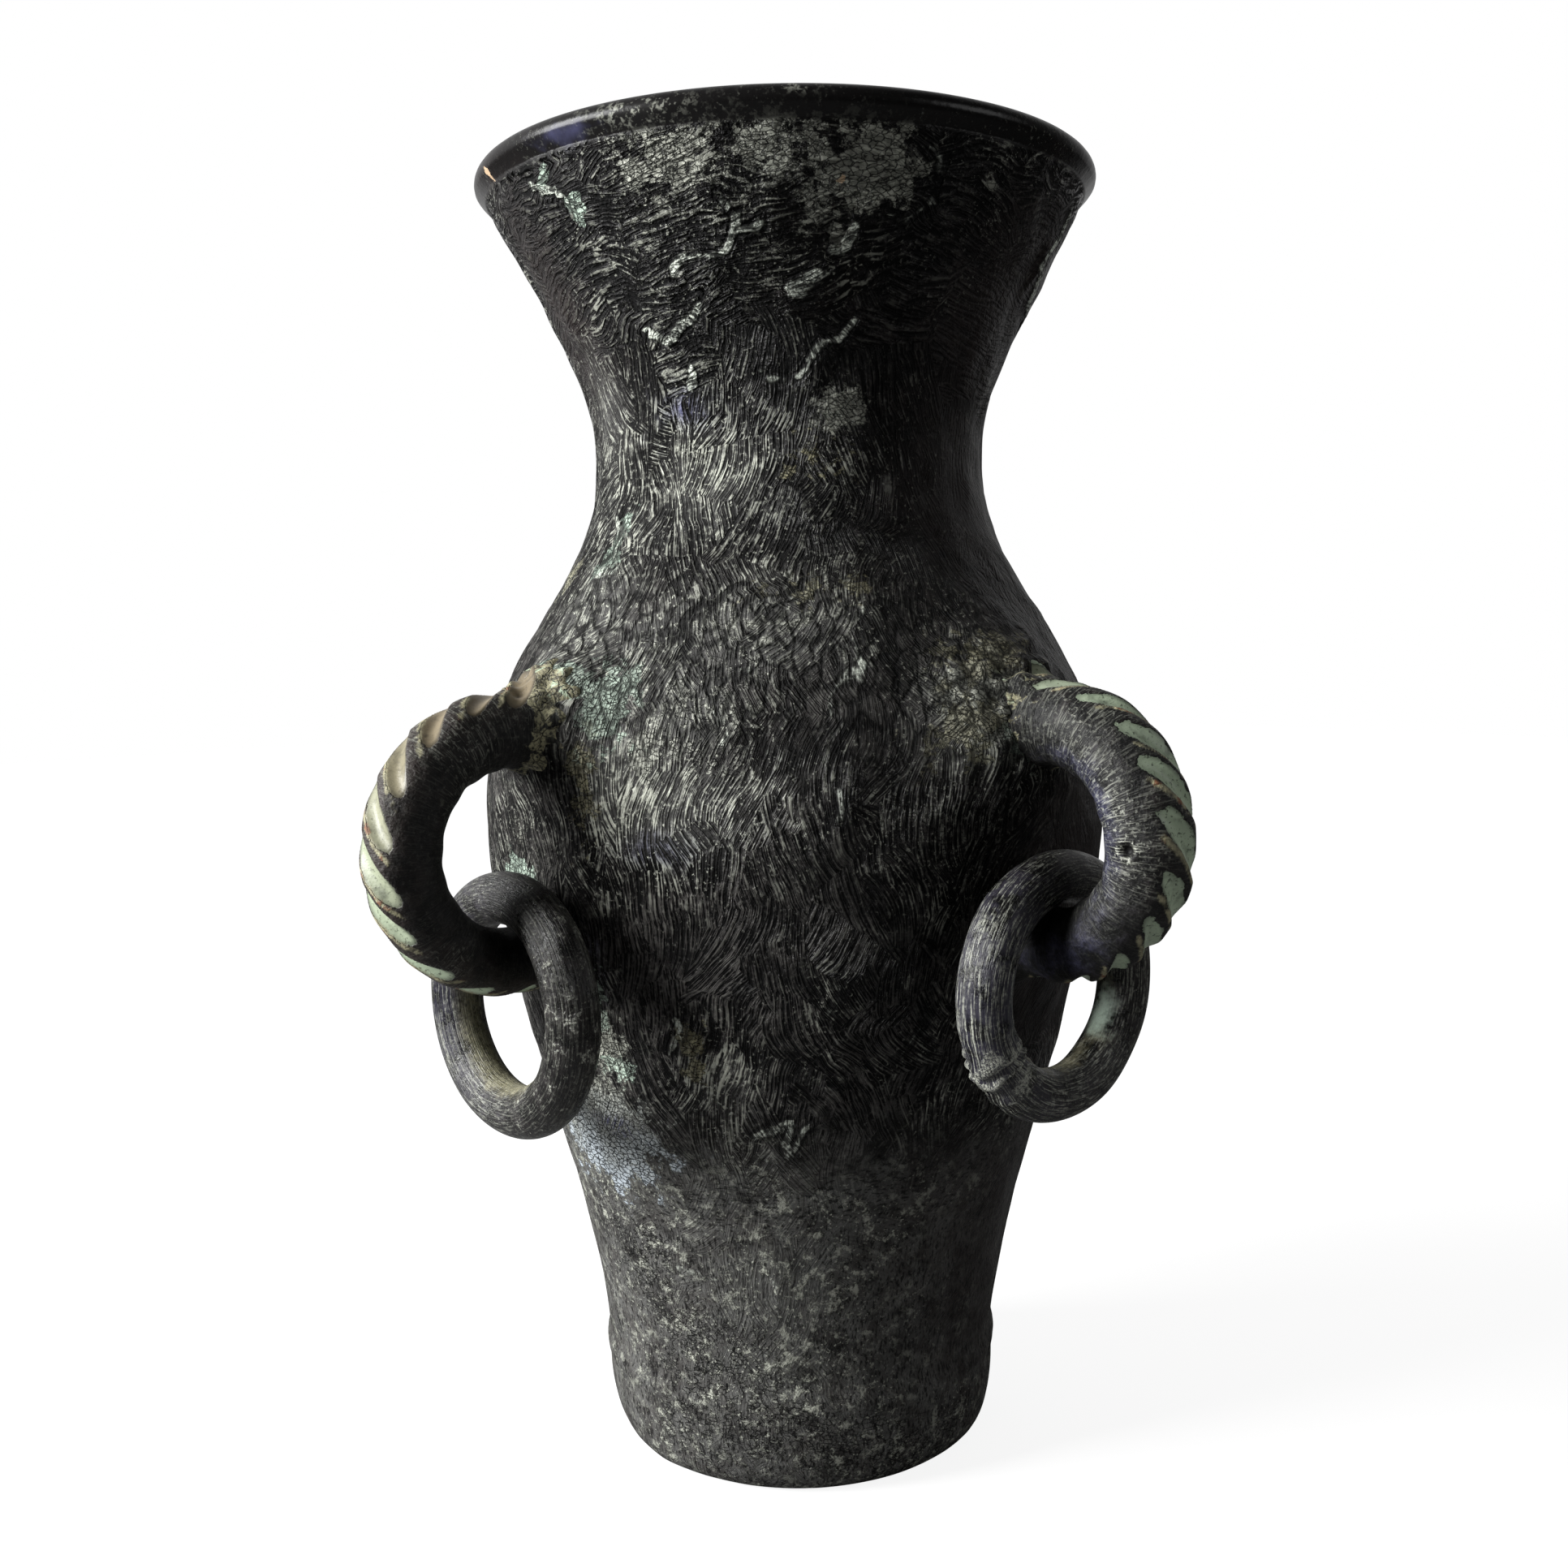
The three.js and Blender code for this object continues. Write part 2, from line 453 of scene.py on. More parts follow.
    def mix(self, share: Value, first: Value, second: Value) -> Socket:
        """A number between two numbers.

        Args:
            share: 0 for the first and 1 for the second.
            first: number or socket.
            second: number or socket.

        Returns:
            The mixed number.
        """
        made = self.node("ShaderNodeMix")
        self.feed(made.inputs[0], share)
        self.feed(made.inputs[2], first)
        self.feed(made.inputs[3], second)
        return made.outputs[0]

    def value(self, wear: Wear) -> Socket:
        """A piece's point value, by its name."""
        return self.node("ShaderNodeAttribute", attribute_name=wear.value).outputs["Fac"]

    def ragged(self, wear: Wear, cloud: Socket, softness: float = 0.12) -> Socket:
        """A marked place with a soft edge torn by noise: a step of the sum of its strength and the noise.

        Args:
            wear: which point value.
            cloud: noise round 0.5.
            softness: width of the torn edge.

        Returns:
            Share of the place's colour.
        """
        total = self.plus(self.value(wear), cloud)
        return self.step(total, 1 - softness, 1 + softness)


@dataclass(frozen=True)
class Patina:
    """What the painted finishes share: colours of paint and wear, flakes and the last shader step."""

    deep: Colour = paint(5, 5, 5)
    charcoal: Colour = paint(22, 21, 21)
    slate: Colour = paint(70, 68, 66)
    coal: Colour = paint(24, 23, 23)
    # Dark brown paint; across the vessel's unlit right side it is painted shade
    brown_and_shade: Colour = paint(34, 29, 28)
    veil: Colour = paint(92, 92, 90)
    pale: Colour = paint(176, 178, 166)
    chalk: Colour = paint(204, 210, 198)
    frost: Colour = paint(188, 198, 206)
    mint: Colour = paint(186, 204, 188)
    olive: Colour = paint(150, 146, 118)
    violet_highlight: Colour = paint(74, 75, 104)
    terracotta: Colour = paint(196, 170, 140)
    crack_share: float = 0.08
    shine: float = 0.5

    def start(self, name: str) -> tuple[bpy.types.Material, Graph, Socket]:
        """Starts a material.

        Args:
            name: the material's name.

        Returns:
            The material, its graph and the place on the object in millimetres.
        """
        made = bpy.data.materials.new(name)
        made.use_nodes = True
        graph = Graph(made.node_tree)
        where = graph.node("ShaderNodeTexCoord").outputs["Object"]
        return made, graph, graph.vector("SCALE", where, 1 / METRES)

    def flakes(self, graph: Graph, place: Socket, size: float, share: float) -> tuple[Socket, Socket]:
        """Paint cracked into flakes: random cells of a place that is swayed by noise of their own size.

        Args:
            graph: the material's graph.
            place: coordinates.
            size: size of a flake in the same unit.
            share: width of a crack as a share of a flake.

        Returns:
            Cracks from 0 to 1 along the borders of the flakes, and a random number for each flake.
        """
        sway = graph.vector("SCALE", graph.noise(place, size, 3.0, 0.6).outputs[1], size)
        torn = graph.vector("ADD", place, sway)
        chance = graph.split(graph.cells(torn, size).outputs["Color"])[0]
        border = graph.cells(torn, size, "DISTANCE_TO_EDGE").outputs["Distance"]
        return graph.step(border, 0.0, share, 1.0, 0.0), chance

    def covered(self, graph: Graph, wear: Wear, tear: Socket, chance: Socket) -> Socket:
        """A worn colour with a torn edge: a step of its strength plus shares of noise and of chance.

        Args:
            graph: the material's graph.
            wear: which point value.
            tear: noise that tears the edge.
            chance: random number of each flake.

        Returns:
            Share of the worn colour.
        """
        total = graph.math("MULTIPLY_ADD", graph.step(tear, 0.33, 0.67), 0.7, graph.value(wear))
        total = graph.math("MULTIPLY_ADD", chance, 0.2, total)
        return graph.step(total, 0.88, 1.02)

    def end(self, graph: Graph, colour: Socket, roughness: Socket, height: Socket) -> None:
        """Ends a material.

        Args:
            graph: the material's graph.
            colour: base colour.
            roughness: how matt the paint is.
            height: fine relief in millimetres.
        """
        bump = graph.node("ShaderNodeBump")
        bump.inputs["Strength"].default_value = 1.0
        bump.inputs["Distance"].default_value = METRES
        graph.feed(bump.inputs["Height"], height)
        shader = graph.node("ShaderNodeBsdfPrincipled")
        graph.feed(shader.inputs["Base Color"], colour)
        graph.feed(shader.inputs["Roughness"], roughness)
        graph.feed(shader.inputs["Specular IOR Level"], self.shine)
        graph.feed(shader.inputs["Normal"], bump.outputs[0])
        out = graph.node("ShaderNodeOutputMaterial")
        graph.feed(out.inputs["Surface"], shader.outputs[0])


@dataclass(frozen=True)
class Marks:
    """Noises and zones of the vessel's wall that the steps of its finish share.

    Noises lie round 0.5 and zones go from 0 to 1. The place and the heights are in millimetres.
    """

    place: Socket
    height: Socket
    uneven: Socket
    broad: Socket
    medium: Socket
    small: Socket
    fine: Socket
    tear: Socket
    lip: Socket
    below_lip: Socket
    smooth: Socket
    sleek: Socket


@dataclass(frozen=True)
class Brushwork:
    """What the brush left: strokes, where they show, ridges, grooves painted with shade, and the shoulder's
    cracks.
    """

    strokes: Socket
    brushed: Socket
    ridge: Socket
    # Grooves between the strokes, painted near black as shade, and the weave's fine lines low down
    groove_shade_and_weave: Socket
    bark: Socket


@dataclass(frozen=True)
class VesselPatina(Patina):
    """Thick brushed paint on the vessel: dabs of ridges, bark-like cracks, flakes, rubbed spots and painted
    light and shade.
    """

    dab_size: float = 26.0
    dab_sway: float = 4.0
    shine: float = 0.13
    crack_share: float = 0.11
    ridge_width: float = 0.56
    level_width: float = 1.0
    ridge_length: float = 8.0
    ridge_rise: float = 0.95
    fan_bend: float = 0.05
    level_from: float = 296.0
    level_to: float = 314.0
    swing: float = 1.3
    level_swing: float = 0.6
    layer_shift: float = 700.0
    zone_sway: float = 30.0
    smooth_from: float = 133.0
    smooth_to: float = 101.0
    bark_from: float = 205.0
    bark_to: float = 275.0
    bark_stretch: float = 0.45
    bark_size: float = 4.6
    bark_share: float = 0.21
    bark_fade: float = 18.0
    coal_from: float = 238.0
    coal_to: float = 262.0
    weave_from: float = 88.0
    weave_to: float = 100.0
    weave_width: float = 0.7
    lip_from: float = 351.5
    lip_fade: float = 1.2
    flake_size: float = 2.1
    flake_squash: float = 1.8
    flake_rise: float = 0.15
    lump_rise: float = 0.6
    grit_rise: float = 0.3
    grain_rise: float = 0.12
    crack_depth: float = 0.6
    blotch_rise: float = 0.3
    groove_roughness: float = 0.85
    ridge_roughness: float = 0.28
    sleek_roughness: float = 0.42
    lip_roughness: float = 0.27

    def bristles(self, graph: Graph, place: Socket, shift: float) -> Socket:
        """Ridges that a brush left, dab by dab.

        Each dab is a random cell. The offset from the cell's middle is turned to the way the brush went,
        which is near upright on the body and near level under the lip, with a random swing. A share of the
        squared distance along the stroke bends it into a fan. The ridges are noise that is drawn out along
        the stroke.

        Args:
            graph: the material's graph.
            place: place on the vessel in millimetres.
            shift: distance that makes another layer differ.

        Returns:
            Height of the ridges as noise round 0.5.
        """
        shifted = graph.vector("ADD", place, (shift, shift, shift))
        sway = graph.vector("SUBTRACT", graph.noise(shifted, 18.0, 1.0).outputs[1], (0.5, 0.5, 0.5))
        swayed = graph.vector("ADD", shifted, graph.vector("SCALE", sway, self.dab_sway))
        cell = graph.cells(swayed, self.dab_size)
        offset = graph.vector("SUBTRACT", swayed, cell.outputs["Position"])
        normal = graph.node("ShaderNodeNewGeometry").outputs["Normal"]
        side = graph.vector("NORMALIZE", graph.vector("CROSS_PRODUCT", (0.0, 0.0, 1.0), place))
        upward = graph.vector("CROSS_PRODUCT", normal, side)
        right = graph.vector("DOT_PRODUCT", offset, side)
        rise = graph.vector("DOT_PRODUCT", offset, upward)
        chance_turn, chance_bend, chance_line = graph.split(cell.outputs["Color"])
        middle_height = graph.math("SUBTRACT", graph.split(cell.outputs["Position"])[2], shift)
        lay, spread, width = (
            graph.step(middle_height, self.level_from, self.level_to, on_body, under_lip)
            for on_body, under_lip in (
                (math.radians(90), 0.0),
                (self.swing, self.level_swing),
                (self.ridge_width, self.level_width),
            )
        )
        angle = graph.math("MULTIPLY_ADD", graph.math("SUBTRACT", chance_turn, 0.5), spread, lay)
        cosine = graph.math("COSINE", angle)
        sine = graph.math("SINE", angle)
        along = graph.math("MULTIPLY_ADD", right, cosine, graph.times(rise, sine))
        across = graph.math("SUBTRACT", graph.times(rise, cosine), graph.times(right, sine))
        bend = graph.times(graph.math("SUBTRACT", chance_bend, 0.5), self.fan_bend)
        bowed = graph.math("MULTIPLY_ADD", graph.times(along, along), bend, across)
        stroke = graph.join(
            graph.math("DIVIDE", bowed, width),
            graph.math("DIVIDE", along, self.ridge_length),
            graph.times(chance_line, 40.0),
        )
        return graph.cloud(stroke, 1.0, 2.0, 0.5)

    def bark(self, graph: Graph, marks: Marks) -> tuple[Socket, Socket]:
        """Upright cracks round the shoulder, between flakes that are drawn out upwards.

        Args:
            graph: the material's graph.
            marks: noises and zones of the wall.

        Returns:
            Cracks, and the part of the shoulder that is cracked, from 0 to 1.
        """
        drawn = graph.vector("MULTIPLY", marks.place, (1.0, 1.0, self.bark_stretch))
        seams, _ = self.flakes(graph, drawn, self.bark_size, self.bark_share)
        above = graph.step(marks.uneven, self.bark_from, self.bark_from + self.bark_fade)
        below = graph.step(marks.uneven, self.bark_to - self.bark_fade, self.bark_to, 1.0, 0.0)
        shown = graph.times(graph.times(above, below), graph.step(marks.broad, 0.3, 0.46))
        return graph.times(seams, shown), shown

    def weave(self, graph: Graph, marks: Marks) -> Socket:
        """Fine dark lines in the smooth paint low down: level under the strokes, upright towards the foot.

        Args:
            graph: the material's graph.
            marks: noises and zones of the wall.

        Returns:
            Lines from 0 to 1.
        """
        level, upright = (
            graph.cloud(graph.vector("MULTIPLY", marks.place, stretch), self.weave_width, 3.0, 0.6)
            for stretch in ((0.35, 0.35, 1.0), (1.0, 1.0, 0.3))
        )
        lines = graph.mix(graph.step(marks.uneven, self.weave_from, self.weave_to), upright, level)
        return graph.step(lines, 0.38, 0.5, 0.85, 0.0)

    def marks(self, graph: Graph, place: Socket) -> Marks:
        """Makes the noises and zones of the wall.

        Args:
            graph: the material's graph.
            place: place on the vessel in millimetres.

        Returns:
            The noises and zones.
        """
        height = graph.split(place)[2]
        medium = graph.cloud(place, 9.0, 3.0, 0.6)
        uneven = graph.math("MULTIPLY_ADD", medium, self.zone_sway, height)
        lip = graph.step(height, self.lip_from, self.lip_from + self.lip_fade)
        return Marks(
            place=place,
            height=height,
            uneven=uneven,
            broad=graph.cloud(place, 42.0, 3.0),
            medium=medium,
            small=graph.cloud(place, 3.2, 2.0, 0.6),
            fine=graph.cloud(place, 1.1, 2.0, 0.65),
            tear=graph.cloud(place, 7.0, 5.0, 0.7),
            lip=lip,
            below_lip=graph.step(lip, 0.0, 1.0, 1.0, 0.15),
            smooth=graph.step(uneven, self.smooth_to, self.smooth_from, 1.0, 0.0),
            sleek=graph.step(graph.value(Wear.BROWN_AND_SHADE), 0.3, 0.75),
        )

    def brushwork(self, graph: Graph, marks: Marks) -> Brushwork:
        """Lays two layers of dabs with crumbled strokes, fainter on the lip and where the paint is smooth.

        Args:
            graph: the material's graph.
            marks: noises and zones of the wall.

        Returns:
            What the brush left.
        """
        over = graph.step(graph.cloud(marks.place, 20.0, 2.0), 0.49, 0.52)
        layers = [self.bristles(graph, marks.place, shift) for shift in (0.0, self.layer_shift)]
        crumbled = graph.plus(
            graph.step(marks.fine, 0.0, 1.0, -0.09, 0.09),
            graph.step(marks.small, 0.0, 1.0, -0.08, 0.08),
        )
        strokes = graph.plus(graph.mix(over, *layers), crumbled)
        bark_cracks, barked = self.bark(graph, marks)
        plain = marks.lip
        for zone, share in ((marks.smooth, 0.85), (barked, 0.5), (marks.sleek, 0.6)):
            plain = graph.most(plain, graph.times(zone, share))
        brushed = graph.math("SUBTRACT", 1.0, plain)
        # Grooves between the strokes, which are painted black as shade
        groove_shade_and_weave = graph.times(graph.step(strokes, 0.41, 0.55, 1.0, 0.0), brushed)
        return Brushwork(
            strokes=strokes,
            brushed=brushed,
            ridge=graph.times(graph.step(strokes, 0.3, 0.68), brushed),
            groove_shade_and_weave=graph.most(groove_shade_and_weave, graph.times(self.weave(graph, marks), marks.smooth)),
            bark=graph.times(bark_cracks, graph.step(marks.small, 0.32, 0.5, 0.5, 1.0)),
        )

    def ground(self, graph: Graph, marks: Marks, brush: Brushwork) -> Socket:
        """Colour before rubbing: charcoal to slate, dusted, with shade painted brown on the right and black
        in grooves.

        Args:
            graph: the material's graph.
            marks: noises and zones of the wall.
            brush: what the brush left.

        Returns:
            The colour.
        """
        body = graph.blend(graph.step(marks.height, self.coal_from, self.coal_to), self.slate, self.coal)
        colour = graph.blend(graph.step(marks.medium, 0.34, 0.62), self.charcoal, body)
        colour = graph.blend(marks.lip, colour, self.charcoal)
        # Brown where the paint is browned, and across the unlit right side as painted shade
        colour = graph.blend(graph.ragged(Wear.BROWN_AND_SHADE, marks.medium, 0.4), colour, self.brown_and_shade)
        # Less veil there too, so that the painted shade stays dark
        clear = graph.step(graph.value(Wear.BROWN_AND_SHADE), 0.1, 0.8, 1.0, 0.3)
        veiled = graph.times(graph.step(marks.tear, 0.33, 0.67), clear)
        colour = graph.blend(graph.times(marks.smooth, veiled), colour, self.veil)
        # Veil of dust where the paint is rubbed; on the lit left patches it also paints light
        dust_and_highlight = graph.times(graph.step(graph.value(Wear.RUBBED_AND_HIGHLIGHT), 0.2, 1.0), marks.below_lip)
        colour = graph.blend(graph.times(dust_and_highlight, 0.7), colour, self.veil)
        # The grooves are painted near black as shade, less so where the paint is dusted
        groove_shade_and_weave = graph.times(brush.groove_shade_and_weave, graph.step(dust_and_highlight, 0.0, 1.0, 1.0, 0.6))
        return graph.blend(groove_shade_and_weave, colour, self.deep)

    def rubbing(self, graph: Graph, marks: Marks, brush: Brushwork) -> tuple[Socket, Socket]:
        """Pale paint: rubbed and painted glints on tops of strokes and in specks, blotches low down, wear
        and a highlight on the lip.

        Args:
            graph: the material's graph.
            marks: noises and zones of the wall.
            brush: what the brush left.

        Returns:
            Share of the pale colour, and the blotches.
        """
        scattered = graph.mix(0.5, marks.broad, graph.cloud(marks.place, 15.0, 2.0))
        strewn = graph.step(scattered, 0.42, 0.62, 0.1, 0.75)
        # Fewer pale strokes in the brown and in the painted shade
        strewn = graph.times(strewn, graph.step(graph.value(Wear.BROWN_AND_SHADE), 0.2, 0.9, 1.0, 0.25))
        rubbed_and_highlight = graph.plus(graph.value(Wear.RUBBED_AND_HIGHLIGHT), strewn)
        # Pale tops of raised strokes: dry-brushed paint that also stands in for glints, a painted highlight
        raised = graph.step(graph.math("MULTIPLY_ADD", rubbed_and_highlight, 0.08, brush.strokes), 0.59, 0.72)
        broken = graph.times(brush.brushed, graph.step(marks.small, 0.38, 0.56, 0.25, 1.0))
        dry_brush_and_glints = graph.times(raised, graph.times(broken, rubbed_and_highlight))
        blotch = graph.step(graph.cloud(marks.place, 4.0, 5.0, 0.75), 0.525, 0.64, 0.0, 1.1)
        blotch = graph.times(blotch, graph.times(marks.smooth, rubbed_and_highlight))
        specked = graph.times(rubbed_and_highlight, graph.step(marks.lip, 0.0, 1.0, 1.0, 0.3))
        # Pale specks painted as glints
        specks_and_glints = graph.times(graph.step(marks.fine, 0.6, 0.7), specked)
        # On the lip's left the rubbed paint also stands in for a highlight: painted light
        lip_wear_and_highlight = graph.times(marks.lip, graph.value(Wear.RUBBED_AND_HIGHLIGHT))
        lip_wear_and_highlight = graph.times(lip_wear_and_highlight, graph.step(marks.small, 0.5, 0.6))
        lip_wear_and_highlight = graph.times(lip_wear_and_highlight, graph.step(marks.fine, 0.42, 0.6))
        worn_and_highlight = graph.most(graph.most(dry_brush_and_glints, blotch), specks_and_glints)
        return graph.most(worn_and_highlight, lip_wear_and_highlight), blotch

    def crumbs(self, graph: Graph, marks: Marks, brush: Brushwork) -> Socket:
        """Chalky crumbs along the flake edges, frayed by the strokes.

        Args:
            graph: the material's graph.
            marks: noises and zones of the wall.
            brush: what the brush left.

        Returns:
            Crumbs from 0 to 1.
        """
        frayed = graph.times(
            graph.step(brush.strokes, 0.42, 0.58, 0.1, 1.0),
            graph.step(marks.fine, 0.36, 0.54, 0.3, 1.0),
        )
        near = graph.math("MULTIPLY_ADD", marks.small, 0.9, graph.value(Wear.EDGE))
        return graph.times(graph.step(near, 0.95, 1.25), frayed)

    def stains(
        self, graph: Graph, marks: Marks, brush: Brushwork, crumbs: Socket, chance: Socket, colour: Socket
    ) -> tuple[Socket, Socket]:
        """Lays the crackled stains, the violet painted highlight and the crumbs over a colour.

        Args:
            graph: the material's graph.
            marks: noises and zones of the wall.
            brush: what the brush left.
            crumbs: chalky crumbs.
            chance: random number of each flake.
            colour: what is stained.

        Returns:
            The stained colour, and how far each flake stands up, from 0 to 1.
        """
        tops = graph.math("MULTIPLY_ADD", brush.ridge, 0.6, graph.step(marks.small, 0.35, 0.65, 0.1, 0.45))
        tops = graph.most(tops, graph.times(marks.smooth, graph.step(marks.fine, 0.35, 0.6, 0.1, 0.9)))
        shown = graph.most(tops, graph.step(marks.smooth, 0.0, 1.0, 0.4, 0.75))
        lifted = graph.times(crumbs, 0.3)
        mosaic = graph.blend(marks.smooth, self.pale, self.frost)
        for wear, tint in ((Wear.MOSAIC, mosaic), (Wear.OLIVE, self.olive), (Wear.MINT_AND_HIGHLIGHT, self.mint)):
            cover = graph.times(self.covered(graph, wear, marks.tear, chance), marks.below_lip)
            lifted = graph.most(lifted, cover)
            colour = graph.blend(graph.times(cover, shown), colour, tint)
        # A violet painted highlight on the tops of strokes and on the lip
        glossy = graph.most(marks.lip, graph.step(brush.strokes, 0.45, 0.65))
        sheen = graph.times(graph.ragged(Wear.VIOLET_HIGHLIGHT, marks.medium, 0.35), glossy)
        colour = graph.blend(sheen, colour, self.violet_highlight)
        return graph.blend(crumbs, colour, self.chalk), lifted

    def cracks(
        self, graph: Graph, marks: Marks, brush: Brushwork, flake_cracks: Socket, lifted: Socket
    ) -> Socket:
        """Cracks round flakes, on the shoulder and single ones, and a painted shadow beside flake edges,
        none on the lip.

        Args:
            graph: the material's graph.
            marks: noises and zones of the wall.
            brush: what the brush left.
            flake_cracks: borders of the flakes.
            lifted: how far each flake stands up.

        Returns:
            Cracks and the painted shadow beside flake edges, from 0 to 1.
        """
        crazed = graph.times(graph.step(marks.broad, 0.5, 0.64), graph.step(marks.small, 0.42, 0.56))
        crack = graph.times(flake_cracks, graph.most(lifted, crazed))
        edge = graph.value(Wear.EDGE)
        # A dark line beside each flake edge: painted shadow of the curled paint
        beside = graph.times(graph.step(edge, 0.15, 0.35, 0.0, 0.8), graph.step(edge, 0.5, 0.7, 1.0, 0.0))
        single = graph.ragged(Wear.CRACK, marks.small, 0.2)
        for more in (graph.times(beside, brush.brushed), brush.bark, single):
            crack = graph.most(crack, more)
        return graph.times(crack, graph.step(marks.lip, 0.0, 1.0, 1.0, 0.0))

    def relief(
        self, graph: Graph, marks: Marks, brush: Brushwork, crack: Socket, lifted: Socket, blotch: Socket
    ) -> Socket:
        """Fine relief: a sum of ridges, lumps, grit, cracks and flakes, weaker on the lip, and blotches.

        Args:
            graph: the material's graph.
            marks: noises and zones of the wall.
            brush: what the brush left.
            crack: all cracks, and the painted shadow line beside flake edges.
            lifted: how far each flake stands up.
            blotch: blotches low down.

        Returns:
            Relief in millimetres.
        """
        total = graph.times(brush.ridge, self.ridge_rise)
        for part, rise in (
            (marks.medium, self.lump_rise),
            (marks.small, self.grit_rise),
            (marks.fine, self.grain_rise),
            (crack, -self.crack_depth),
            (lifted, self.flake_rise),
        ):
            total = graph.math("MULTIPLY_ADD", part, rise, total)
        total = graph.times(total, graph.step(marks.lip, 0.0, 1.0, 1.0, 0.3))
        return graph.math("MULTIPLY_ADD", blotch, self.blotch_rise, total)

    def material(self, name: str) -> bpy.types.Material:
        """Makes the vessel's material.

        Args:
            name: the material's name.

        Returns:
            The material.
        """
        made, graph, place = self.start(name)
        marks = self.marks(graph, place)
        brush = self.brushwork(graph, marks)
        squashed = graph.vector("MULTIPLY", place, (1.0, 1.0, self.flake_squash))
        flake_cracks, chance = self.flakes(graph, squashed, self.flake_size, self.crack_share)
        crumbs = self.crumbs(graph, marks, brush)
        worn_and_highlight, blotch = self.rubbing(graph, marks, brush)
        # Pale rubbing over the ground, partly painted glints and highlight
        colour = graph.blend(graph.times(worn_and_highlight, 0.9), self.ground(graph, marks, brush), self.pale)
        colour, lifted = self.stains(graph, marks, brush, crumbs, chance, colour)
        crack = self.cracks(graph, marks, brush, flake_cracks, lifted)
        # Cracks are dark; the line beside flake edges among them is painted shadow
        colour = graph.blend(graph.times(crack, 0.9), colour, self.deep)
        colour = graph.blend(graph.ragged(Wear.BARE, marks.fine, 0.1), colour, self.terracotta)
        matt = graph.step(brush.ridge, 0.2, 0.8, self.groove_roughness, self.ridge_roughness)
        matt = graph.mix(marks.sleek, matt, self.sleek_roughness)
        roughness = graph.mix(marks.lip, matt, self.lip_roughness)
        self.end(graph, colour, roughness, self.relief(graph, marks, brush, crack, lifted, blotch))
        return made


@dataclass(frozen=True)
class CoilPatina(Patina):
    """Paint on a rolled coil, with marks that follow it."""

    streak_width: float = 0.4
    streak_length: float = 4.5

    def coil(self, graph: Graph) -> Socket:
        """Place on the coil as if it were straight: length along it, then the two ways across it."""
        return graph.node("ShaderNodeAttribute", attribute_name="coil").outputs["Vector"]

    def drawn(self, graph: Graph, coil: Socket, length: float, width: float) -> Socket:
        """Noise drawn out along the coil, or across it where the length is the smaller.

        Args:
            graph: the material's graph.
            coil: place on the straightened coil.
            length: size of a mark along the coil.
            width: size of a mark across the coil.

        Returns:
            Noise round 0.5.
        """
        shares = graph.vector("DIVIDE", coil, (length, width, width))
        return graph.cloud(shares, 1.0, 3.0, 0.62)


